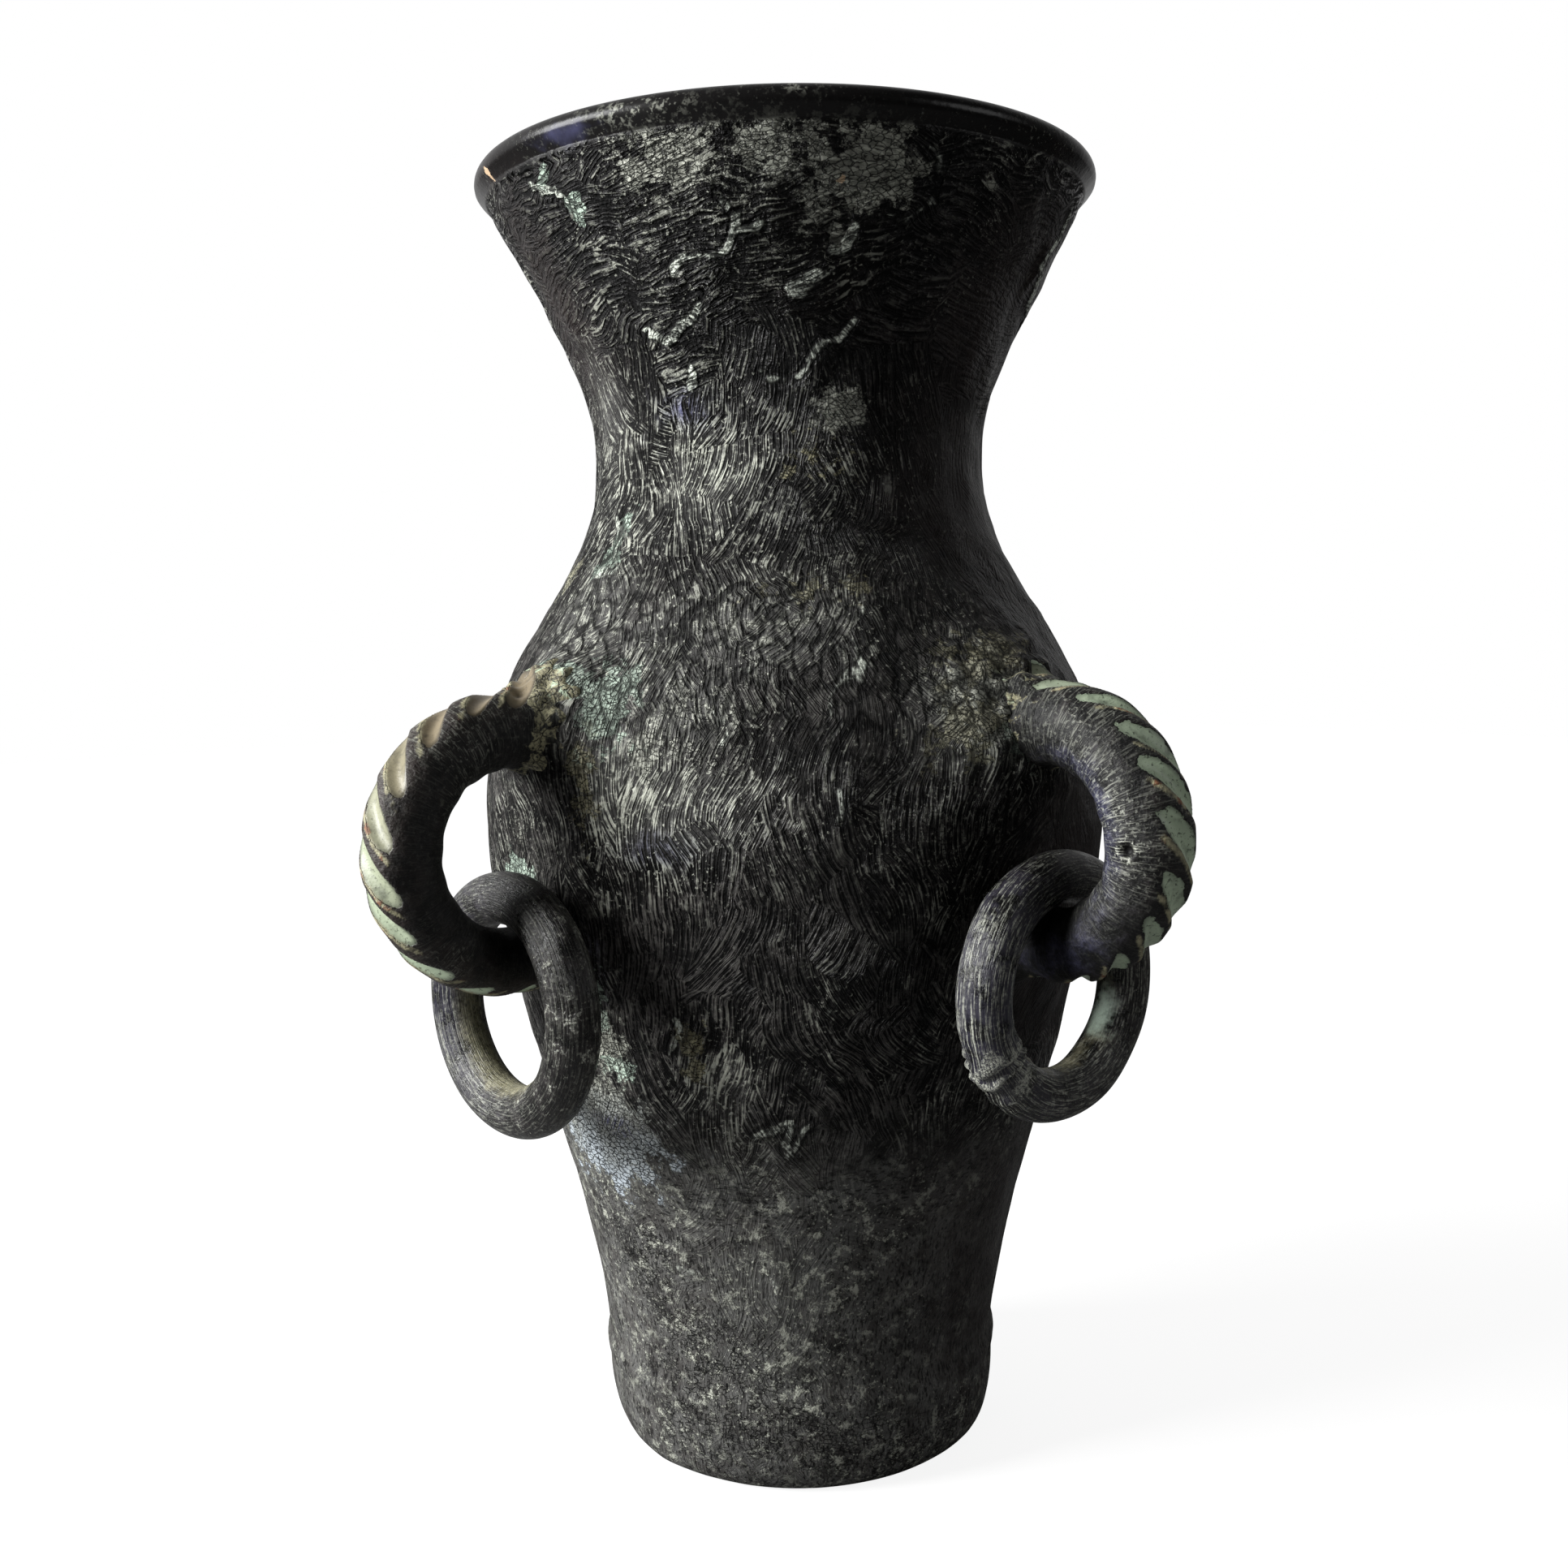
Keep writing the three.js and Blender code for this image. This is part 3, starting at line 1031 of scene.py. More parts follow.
@dataclass(frozen=True)
class HandlePatina(CoilPatina):
    """Matt black on the handles, smooth taupe to mint paint left in the pressed scoops, painted highlights
    and shade.
    """

    taupe: Colour = paint(116, 105, 84)
    sage: Colour = paint(176, 192, 166)
    rust: Colour = paint(122, 84, 60)
    brown_and_shade: Colour = paint(46, 38, 34)
    shine: float = 0.28
    flake_size: float = 3.4

    def lining(self, graph: Graph, scoop: Socket, medium: Socket, fine: Socket) -> Socket:
        """Paint in the scoops: taupe or sage, sooty in places, specked, and painted darker up their sides
        as shade.

        Args:
            graph: the material's graph.
            scoop: depth of the scoop from 0 to 1.
            medium: noise for the soot.
            fine: noise for the specks.

        Returns:
            The paint's colour.
        """
        tone = graph.value(Wear.TONE)
        tint = graph.blend(graph.step(tone, 0.2, 0.8), self.taupe, self.sage)
        tint = graph.blend(graph.step(medium, 0.5, 0.72, 0.0, 0.5), tint, self.charcoal)
        specks = graph.times(graph.step(fine, 0.57, 0.66), graph.step(tone, 0.2, 0.8, 0.25, 0.7))
        tint = graph.blend(specks, tint, self.deep)
        # Painted shade: darker towards the scoop's shallow sides
        return graph.blend(graph.step(scoop, 0.05, 0.5, 0.6, 0.0), tint, self.charcoal)

    def material(self, name: str) -> bpy.types.Material:
        """Makes a handle's material.

        Args:
            name: the material's name.

        Returns:
            The material.
        """
        made, graph, place = self.start(name)
        coil = self.coil(graph)
        hairs = self.drawn(graph, coil, self.streak_width, self.streak_length)
        broad = graph.cloud(place, 22.0, 3.0)
        medium = graph.cloud(place, 5.0, 3.0, 0.6)
        fine = graph.cloud(place, 1.0, 3.0, 0.65)
        scoop = graph.value(Wear.SCOOP)
        chipped = graph.times(graph.value(Wear.TONE), graph.step(medium, 0.44, 0.6, 0.0, -0.3))
        filled = graph.plus(scoop, chipped)
        pressed = graph.step(graph.math("MULTIPLY_ADD", fine, 0.14, filled), 0.08, 0.15)

        colour = graph.blend(graph.step(medium, 0.4, 0.66), self.deep, self.charcoal)
        colour = graph.blend(graph.ragged(Wear.BROWN_AND_SHADE, medium, 0.35), colour, self.brown_and_shade)
        # A violet painted highlight on the coil's inner flank
        sheen = graph.times(graph.ragged(Wear.VIOLET_HIGHLIGHT, medium, 0.4), graph.step(fine, 0.36, 0.6, 0.4, 1.0))
        colour = graph.blend(sheen, colour, self.violet_highlight)
        # Rubbed pale grain; on the handle with a sheen it includes a painted highlight beside the violet
        # band
        rubbed_and_highlight = graph.plus(graph.value(Wear.RUBBED_AND_HIGHLIGHT), graph.step(broad, 0.45, 0.7, 0.04, 0.3))
        grain = graph.most(graph.step(hairs, 0.5, 0.7), graph.step(fine, 0.54, 0.68))
        colour = graph.blend(graph.times(grain, rubbed_and_highlight), colour, self.pale)
        cracks, chance = self.flakes(graph, place, self.flake_size, self.crack_share)
        lifted = graph.times(self.covered(graph, Wear.OLIVE, medium, chance), graph.step(fine, 0.3, 0.6))
        colour = graph.blend(lifted, colour, self.olive)
        colour = graph.blend(self.covered(graph, Wear.MINT_AND_HIGHLIGHT, medium, chance), colour, self.sage)
        colour = graph.blend(graph.times(cracks, lifted), colour, self.deep)
        colour = graph.blend(pressed, colour, self.lining(graph, scoop, medium, fine))
        # A pale rim at the end of each scoop: painted highlight, coloured as an olive or rust chip
        edge = graph.times(graph.ragged(Wear.EDGE, fine, 0.3), graph.step(medium, 0.36, 0.56))
        chip_and_rim_highlight = graph.blend(graph.step(medium, 0.58, 0.64), self.olive, self.rust)
        colour = graph.blend(edge, colour, chip_and_rim_highlight)

        rough_paint = graph.plus(graph.times(hairs, 0.25), graph.times(fine, 0.25))
        rough_paint = graph.math("MULTIPLY_ADD", medium, 0.9, rough_paint)
        rough_paint = graph.math("MULTIPLY_ADD", cracks, graph.times(lifted, -0.3), rough_paint)
        relief = graph.times(rough_paint, graph.step(pressed, 0.0, 1.0, 1.0, 0.2))
        roughness = graph.step(pressed, 0.0, 1.0, 0.6, 0.4)
        self.end(graph, colour, roughness, relief)
        return made


@dataclass(frozen=True)
class RingPatina(CoilPatina):
    """Charcoal on the rings, streaked along the coil, with crackled specks, rubbed olive places and painted
    highlights.
    """

    flake_size: float = 0.9
    shine: float = 0.35

    def material(self, name: str) -> bpy.types.Material:
        """Makes a ring's material.

        Args:
            name: the material's name.

        Returns:
            The material.
        """
        made, graph, place = self.start(name)
        coil = self.coil(graph)
        streak = self.drawn(graph, coil, self.streak_length, self.streak_width)
        broad = graph.cloud(place, 16.0, 2.0)
        medium = graph.cloud(place, 4.5, 3.0, 0.6)
        fine = graph.cloud(place, 0.9, 3.0, 0.65)
        colour = graph.blend(graph.step(medium, 0.38, 0.64), self.deep, self.charcoal)
        # A violet painted highlight on the ring's lit left side
        colour = graph.blend(graph.ragged(Wear.VIOLET_HIGHLIGHT, medium, 0.35), colour, self.violet_highlight)
        colour = graph.blend(graph.ragged(Wear.BROWN_AND_SHADE, medium, 0.3), colour, self.brown_and_shade)
        rubbed_and_highlight = graph.plus(graph.value(Wear.RUBBED_AND_HIGHLIGHT), graph.step(broad, 0.42, 0.66, 0.05, 0.25))
        grain = graph.times(graph.step(streak, 0.48, 0.66), graph.step(fine, 0.36, 0.56, 0.2, 1.0))
        colour = graph.blend(graph.times(grain, rubbed_and_highlight), colour, self.pale)
        cracks, chance = self.flakes(graph, place, self.flake_size, self.crack_share)
        whole = graph.step(cracks, 0.0, 0.6, 1.0, 0.0)
        speckled = graph.times(self.covered(graph, Wear.MOSAIC, medium, chance), whole)
        specks = graph.times(speckled, graph.step(fine, 0.36, 0.6, 0.1, 0.8))
        colour = graph.blend(specks, colour, self.pale)
        beige = graph.times(graph.ragged(Wear.OLIVE, medium, 0.3), graph.step(fine, 0.34, 0.6, 0.35, 0.75))
        colour = graph.blend(beige, colour, self.olive)
        # Mint paint, and inside the seamed ring a painted highlight
        colour = graph.blend(graph.ragged(Wear.MINT_AND_HIGHLIGHT, medium, 0.25), colour, self.mint)
        colour = graph.blend(graph.step(fine, 0.58, 0.7, 0.0, 0.25), colour, self.pale)
        relief = graph.plus(graph.times(streak, 0.4), graph.times(fine, 0.14))
        relief = graph.math("MULTIPLY_ADD", medium, 0.35, relief)
        relief = graph.math("MULTIPLY_ADD", speckled, 0.15, relief)
        roughness = graph.step(medium, 0.4, 0.62, 0.26, 0.46)
        self.end(graph, colour, roughness, relief)
        return made


PATCHES: dict[Wear, tuple[Patch, ...]] = {
    # Rubbed pale paint; on the left these patches also paint the lit side, a rim sheen and a lip highlight
    Wear.RUBBED_AND_HIGHLIGHT: (
        Patch(-64, 273, 18, 16, 1.1),
        Patch(-45, 264, 12, 10, 0.5),
        Patch(-89, 236, 20, 20, 1.1),
        Patch(-50, 234, 34, 16, 1.0),
        Patch(-68, 227, 16, 13, 1.2),
        Patch(-61, 214, 18, 12, 1.1),
        Patch(-56, 120, 13, 14, 0.85),
        Patch(-70, 197, 16, 18, 1.35),
        Patch(-60, 192, 26, 18, 0.95),
        Patch(-11, 211, 17, 16, 1.3),
        Patch(-8, 226, 14, 12, 0.7),
        Patch(-84, 214, 10, 18, 0.8),
        Patch(-92, 98, 24, 22, 1.0),
        Patch(-76, 84, 16, 10, 0.5),
        Patch(-94, 34, 14, 22, 0.4),
        Patch(-55, 36, 24, 16, 0.65),
        Patch(-48, 62, 22, 20, 0.8),
        Patch(-52, 342, 30, 12, 0.2),
        Patch(-66, 356, 12, 2.5, 0.8),
        Patch(-40, 358.5, 5, 1.5, 0.5),
        Patch(-100, 285, 16, 30, 0.8),
        Patch(-84, 260, 18, 14, 0.7),
        Patch(-33, 277, 10, 14, 0.5),
    ),
    Wear.MOSAIC: (
        Patch(-27, 343, 13, 10),
        Patch(-33, 333, 9, 7, 0.75),
        Patch(-63, 346, 15, 7, 0.95),
        Patch(-45, 347, 20, 6, 0.85),
        Patch(-112, 245, 8, 10, 0.6),
        Patch(-45, 236, 20, 6, 0.4),
        Patch(-10, 214, 14, 11, 1.3),
        Patch(-67, 204, 10, 13, 0.6),
        Patch(-28, 290, 8, 6, 1.0),
        Patch(-88, 101, 20, 14, 1.4),
        Patch(-80, 128, 7, 12, 0.9),
    ),
    Wear.MINT_AND_HIGHLIGHT: (
        Patch(-75, 215, 8, 11, 1.2),
        Patch(-86, 222, 13, 4, 1.1),
        Patch(-3, 204, 9, 4, 1.2),
        Patch(-98, 171, 10, 4, 1.2),
        Patch(-80, 140, 4, 12, 0.6),
        Patch(-78, 121, 6, 5, 0.75),
        Patch(-89, 260, 3, 6, 0.8),
        Patch(-92, 252, 6, 4, 0.85),
        Patch(-90, 347, 3, 3, 0.8),
        Patch(-84, 340, 4, 3, 0.8),
    ),
    Wear.OLIVE: (
        Patch(-34, 276, 11, 9, 0.45),
        Patch(-38, 243, 18, 5, 0.5),
        Patch(-6, 224, 16, 7, 0.9),
        Patch(-15, 210, 11, 13, 0.65),
        Patch(-61, 130, 4, 10, 0.85),
        Patch(-78, 200, 5, 16, 0.7),
        Patch(-112, 248, 8, 10, 0.5),
    ),
    # Violet painted highlights on the lit left side and the lip
    Wear.VIOLET_HIGHLIGHT: (
        Patch(-64, 181, 17, 7, 0.6),
        Patch(-83, 104, 12, 4, 0.8),
        Patch(-71, 291, 12, 8, 0.6),
        Patch(-80, 354, 12, 3, 0.6),
        Patch(-80, 150, 6, 12, 0.5),
    ),
    # Brown paint; the wide patches over the right side and in the throat's middle are painted shade
    Wear.BROWN_AND_SHADE: (
        Patch(20, 250, 46, 70, 0.95),
        Patch(16, 160, 46, 50, 0.95),
        Patch(14, 60, 40, 60, 0.8),
        Patch(25, 320, 44, 34, 0.95),
        Patch(-108, 318, 22, 44, 0.8),
        Patch(-36, 316, 18, 9, 0.5),
        Patch(-8, 88, 16, 26, 0.7),
    ),
    Wear.BARE: (
        Patch(-107, 354, 1.7, 2.2),
        Patch(-32, 340.6, 1.3, 1.1),
    ),
}
FLAKE_EDGES = (
    Crease(((-54, 328), (-52, 331), (-51, 335), (-53, 338))),
    Crease(((-52, 331), (-47, 329))),
    Crease(((-54, 328), (-60, 325), (-66, 323))),
    Crease(((-28, 332), (-29, 329), (-32, 327))),
    Crease(((-34, 320), (-37, 318), (-41, 317))),
    Crease(((-60, 316), (-62, 314), (-65, 311), (-72, 309), (-76, 312))),
    Crease(((-28, 311), (-29, 307), (-33, 304), (-36, 301), (-39, 296), (-48, 297)), strength=0.85),
    Crease(((-66, 300), (-64, 297), (-68, 295))),
    Crease(((-94, 264), (-89, 257), (-87, 252), (-93, 247))),
    Crease(((-93, 349), (-88, 343), (-84, 340))),
    Crease(((-20, 352), (-13, 343), (-13, 338), (-23, 333)), strength=0.65),
    Crease(((32, 347), (28, 334), (39, 322))),
    Crease(((-51, 225), (-49, 224))),
    Crease(((-55, 213), (-53, 210), (-55, 205)), strength=0.75),
    Crease(((-46, 207), (-43, 202), (-43, 197)), strength=0.75),
    Crease(((-27, 237), (-30, 230), (-31, 222), (-36, 210)), strength=0.7),
    Crease(((-35, 195), (-36, 189)), strength=0.75),
    Crease(((-64, 138), (-64, 130)), strength=0.9),
    Crease(((-50, 107), (-46, 111), (-44, 112), (-44, 102)), strength=0.9),
    Crease(((-42, 105), (-39, 107)), strength=0.9),
    Crease(((-17, 135), (-24, 126)), strength=0.6),
    Crease(((-35, 147), (-37, 135)), strength=0.6),
    Crease(((-50, 65), (-49, 62)), strength=0.9),
    Crease(((-72, 63), (-68, 65), (-64, 64)), strength=0.7),
)
CRACKS = (
    Crease(((-63, 228), (-61, 239), (-54, 243), (-43, 245), (-38, 242)), 1.6),
    Crease(((-91, 264), (-90, 256), (-93, 250)), 1.2),
    Crease(((-90, 256), (-86, 250)), 1.2),
)


@dataclass
class Vessel:
    """The thrown vessel: one wall of revolution from the foot to the lip, and its paint."""

    height: float = 360.0
    foot_base_radius: float = 50.0
    foot_radius: float = 57.2
    foot_round_height: float = 20.0
    foot_band_swell: float = 0.8
    foot_top_height: float = 31.0
    belly_radius: float = 88.6
    belly_height: float = 184.0
    neck_radius: float = 55.2
    neck_height: float = 281.0
    lip_radius: float = 86.8
    lip_thickness: float = 7.2
    lip_overhang: float = 2.4
    lip_dip: float = math.radians(30)
    wall: float = 7.0
    floor: float = 10.0
    floor_corner: float = 8.0
    columns: int = 384
    close_steps: int = 400
    base_rows: int = 4
    foot_rows: int = 16
    band_rows: int = 6
    lower_rows: int = 80
    shoulder_rows: int = 55
    throat_rows: int = 43
    lip_rows: int = 16
    inner_rows: int = 24
    corner_rows: int = 5
    floor_rows: int = 4
    throw_wave: float = 110.0
    throw_rise: float = 0.25
    hand_wave: float = 31.0
    hand_rise: float = 0.16
    lump_wave: float = 12.0
    lump_rise: float = 0.12
    thick_from: float = 60.0
    thick_to: float = 130.0
    thin_share: float = 0.25
    lower_fillet: float = 2.6
    lower_reach: float = 6.0
    flake_rise: float = 1.0
    crack_depth: float = 0.4
    dab_count: int = 420
    dab_rise: float = 0.28
    dab_wave: float = 22.0
    dab_sway: float = 3.0
    dab_border: float = 3.0
    crease_wave: float = 13.0
    crease_sway: float = 1.2
    curl_reach: float = 4.0
    lip_groove: float = 0.5

    def curves(self) -> dict[str, list[tuple[float, float]]]:
        """Corners of the three curves of the outer wall, as in the CAD part."""
        lower_rise = self.belly_height - self.foot_top_height
        shoulder_rise = self.neck_height - self.belly_height
        lip = (self.lip_radius - self.lip_overhang, self.height - self.lip_thickness)
        throat_rise = lip[1] - self.neck_height
        lower_pull = 0.3 * lower_rise
        throat_pull = 0.64 * throat_rise
        foot_top = (self.foot_radius, self.foot_top_height)
        belly = (self.belly_radius, self.belly_height)
        neck = (self.neck_radius, self.neck_height)
        return {
            "lower": [
                foot_top,
                (foot_top[0] + 0.11 * lower_pull, foot_top[1] + lower_pull),
                (belly[0], belly[1] - 0.24 * lower_rise),
                belly,
            ],
            "shoulder": [
                belly,
                (belly[0], belly[1] + 0.49 * shoulder_rise),
                (neck[0], neck[1] - 0.37 * shoulder_rise),
                neck,
            ],
            "throat": [
                neck,
                (neck[0], neck[1] + 0.2 * throat_rise),
                (lip[0] - 0.6 * throat_pull, lip[1] - throat_pull),
                lip,
            ],
        }

    def outside(self) -> Field:
        """Radius and height of the outside, from the middle of the base to the lip's inner edge."""
        share = np.linspace(0, 1, self.close_steps)
        swing = (share - 1) * np.pi / 2
        base = np.stack([share * self.foot_base_radius, 0 * share], axis=1)
        foot = np.stack([
            self.foot_base_radius + (self.foot_radius - self.foot_base_radius) * np.cos(swing),
            self.foot_round_height * (1 + np.sin(swing)),
        ], axis=1)
        band = np.stack([
            self.foot_radius + self.foot_band_swell * np.sin(np.pi * share) ** 2,
            self.foot_round_height + (self.foot_top_height - self.foot_round_height) * share,
        ], axis=1)
        bead = self.lip_thickness / 2
        roll = -self.lip_dip + share * (np.pi + 2 * self.lip_dip)
        lip = np.stack([
            self.lip_radius - bead + bead * np.cos(roll),
            self.height - bead + bead * np.sin(roll),
        ], axis=1)
        curves = {key: bezier(corners, share) for key, corners in self.curves().items()}
        return np.concatenate([
            even(base, self.base_rows)[1:],
            even(foot, self.foot_rows),
            even(band, self.band_rows),
            even(curves["lower"], self.lower_rows),
            even(curves["shoulder"], self.shoulder_rows),
            even(curves["throat"], self.throat_rows),
            even(lip, self.lip_rows),
        ])

    def inside(self) -> Field:
        """Radius and height of the inside: outer curves moved in by the wall, a round corner, the floor."""
        share = np.linspace(1, 0, self.close_steps)
        walls = []
        for key in ("throat", "shoulder", "lower"):
            curve = bezier(self.curves()[key], share)
            slope = np.gradient(curve, axis=0)
            slope /= np.linalg.norm(slope, axis=1, keepdims=True)
            walls.append(curve + self.wall * np.stack([slope[:, 1], -slope[:, 0]], axis=1))
        wall = np.concatenate(walls)
        wall = wall[wall[:, 1] < self.height - self.lip_thickness]
        swing = np.linspace(0, np.pi / 2, self.close_steps)
        corner = np.stack([
            self.foot_radius - self.wall - self.floor_corner * (1 - np.cos(swing)),
            self.floor + self.floor_corner * (1 - np.sin(swing)),
        ], axis=1)
        reach = np.linspace(corner[-1, 0], 0, self.close_steps)
        flat = np.stack([reach, np.full_like(reach, self.floor)], axis=1)
        return np.concatenate([
            even(wall, self.inner_rows),
            even(corner, self.corner_rows),
            even(flat, self.floor_rows),
        ])

    def radius_at(self, height: float) -> float:
        """Outside radius of the wall at a height, read from the profile."""
        profile = self.outside()
        wall = profile[(profile[:, 1] > 0) & (profile[:, 1] < self.height - self.lip_thickness)]
        return float(np.interp(height, wall[:, 1], wall[:, 0]))

    def patches(self, turn: Field, profile: Field, patches: tuple[Patch, ...]) -> Field:
        """Strongest of several patches at each point.

        Args:
            turn: degrees of each column.
            profile: radius and height of each row.
            patches: the worn places.

        Returns:
            Strength on the grid: 0 outside all patches, and a patch's own amount in its middle.
        """
        total = np.zeros((len(profile), len(turn)))
        for patch in patches:
            apart = (turn - patch.turn + 180) % 360 - 180
            sideways = np.radians(apart)[None, :] * profile[:, :1] / patch.half_width
            upward = (profile[:, 1:] - patch.height) / patch.half_height
            total = np.maximum(total, patch.amount * bell(sideways**2 + upward**2))
        return total

    def creases(
        self, points: Field, turn: Field, profile: Field, creases: tuple[Crease, ...]
    ) -> tuple[Field, Field]:
        """Nearness to creases: the bell curve of the distance, measured on the unrolled wall.

        A crease runs straight between its points, and the wall is swayed a little so that it wanders. The
        paint that curls up beside a crease falls away four times as slowly on its left as on its right.

        Args:
            points: places on the wall.
            turn: degrees of each column.
            profile: radius and height of each row.
            creases: flake edges or cracks.

        Returns:
            Nearness and curled paint, from 0 to 1 on the grid.
        """
        near = np.zeros(points.shape[:2])
        curl = np.zeros(points.shape[:2])
        sway_right, sway_up = (
            self.crease_sway * ripples(points, self.crease_wave, seed) for seed in (7, 8)
        )
        for crease in creases:
            for (turn_a, height_a), (turn_b, height_b) in zip(crease.points, crease.points[1:]):
                apart = (turn - turn_a + 180) % 360 - 180
                right = np.radians(apart)[None, :] * profile[:, :1] + sway_right
                rise = profile[:, 1:] - height_a + sway_up
                reach = np.radians(turn_b - turn_a) * profile[:, :1]
                climb = height_b - height_a
                share = np.clip((right * reach + rise * climb) / (reach**2 + climb**2), 0, 1)
                distance = np.hypot(right - share * reach, rise - share * climb)
                near = np.maximum(near, crease.strength * bell((distance / crease.half_width) ** 2))
                slow = np.where(right * climb < rise * reach, self.curl_reach, 1.0) * crease.half_width
                curl = np.maximum(curl, crease.strength * bell((distance / slow) ** 2))
        return near, curl

    def dabs(self, points: Field) -> Field:
        """Thickness of the paint's dabs: random heights of scattered cells, thinned towards their borders.

        Args:
            points: places on the outside.

        Returns:
            Thickness from 0 to 1.
        """
        chance = np.random.default_rng(11)
        flat = points.reshape(-1, 3).astype(np.float32)
        seeds = flat[chance.integers(0, len(flat), self.dab_count)]
        rises = chance.uniform(0.2, 1.0, self.dab_count)
        sway = np.stack([ripples(flat, self.dab_wave, seed) for seed in (3, 4, 5)], axis=1)
        swayed = flat + self.dab_sway * sway
        squares = (swayed**2).sum(1)[:, None] - 2 * swayed @ seeds.T + (seeds**2).sum(1)[None, :]
        nearest = squares.argmin(axis=1)
        two = np.sqrt(np.maximum(np.partition(squares, 1, axis=1)[:, :2], 0))
        inset = ease(two[:, 1] - two[:, 0], 0, self.dab_border)
        return (rises[nearest] * inset).reshape(points.shape[:2])

    def build(self, handles: list["Handle"]) -> Skin:
        """The vessel's surface.

        A point is its profile point turned about the axis and moved along the profile's normal by the
        relief: out-of-round throwing, hand marks, dabs of paint, flake edges and the smears at the handles.

        Args:
            handles: the handles whose roots are smeared onto the wall.

        Returns:
            The surface with its worn places and its painted light and shade.
        """
        outside = self.outside()
        profile = np.concatenate([outside, self.inside()])
        turn = np.linspace(-180, 180, self.columns, endpoint=False)
        angle = np.radians(turn)
        slope = np.gradient(profile, axis=0)
        slope /= np.linalg.norm(slope, axis=1, keepdims=True)
        out = slope[:, 1:]
        up = -slope[:, :1]
        radius = profile[:, :1]
        height = np.broadcast_to(profile[:, 1:], (len(profile), self.columns))
        plain = np.stack([radius * np.cos(angle), radius * np.sin(angle), height], axis=-1)

        rows = np.arange(len(profile))[:, None]
        lip_row = len(outside) - self.lip_rows
        outer = ease(rows, 2, 6) * ease(-rows, -lip_row + 1, -lip_row + 7)
        rough = self.thin_share + (1 - self.thin_share) * ease(height, self.thick_from, self.thick_to)
        edge, curl = self.creases(plain, turn, profile, FLAKE_EDGES)
        crack, _ = self.creases(plain, turn, profile, CRACKS)
        relief = self.throw_rise * ripples(plain, self.throw_wave, 1)
        relief = relief + self.hand_rise * ripples(plain, self.hand_wave, 2)
        lumps = self.lump_rise * ripples(plain, self.lump_wave, 6)
        relief = relief + rough * (lumps + self.dab_rise * self.dabs(plain))
        relief = relief + self.flake_rise * curl - self.crack_depth * crack + self.smears(plain, handles)
        relief = relief * outer - self.lip_groove * bell(((rows - lip_row + 1) / 1.2) ** 2)
        grid = np.stack([
            (radius + relief * out) * np.cos(angle),
            (radius + relief * out) * np.sin(angle),
            height + relief * up,
        ], axis=-1)
        shown = {wear: self.patches(turn, profile, patches) for wear, patches in PATCHES.items()}
        shown |= {Wear.EDGE: edge, Wear.CRACK: crack}
        seen = (rows < len(outside)).astype(float)
        return Skin(grid, values={wear.value: value * seen for wear, value in shown.items()})

    def smears(self, points: Field, handles: list["Handle"]) -> Field:
        """Clay smeared from the handle roots onto the wall.

        The rise falls off as the bell curve of the distance from the coil's side, and wrinkles ride on it.

        Args:
            points: places on the wall.
            handles: the handles.

        Returns:
            Rise in millimetres on the grid.
        """
        total = np.zeros(points.shape[:2])
        for handle in handles:
            local = turned(points, -handle.turn)
            for height, rise, reach in (
                (handle.top_height, handle.root_rise, handle.root_reach),
                (handle.bar_height, self.lower_fillet, self.lower_reach),
            ):
                apart = np.hypot(local[..., 1], local[..., 2] - height)
                beside = np.maximum(0, apart - 0.7 * handle.thickness / 2) / reach
                shown = (local[..., 0] > 0) * bell(beside**2)
                total = np.maximum(total, rise * shown * (1 + 0.07 * ripples(points, 6, 9)))
        return total

    def dress(self, piece: bpy.types.Object) -> None:
        """Paints the vessel and puts it in its node's place."""
        piece.data.materials.append(VesselPatina().material("vessel_patina"))
        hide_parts("vessel")
        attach(piece, "vase")


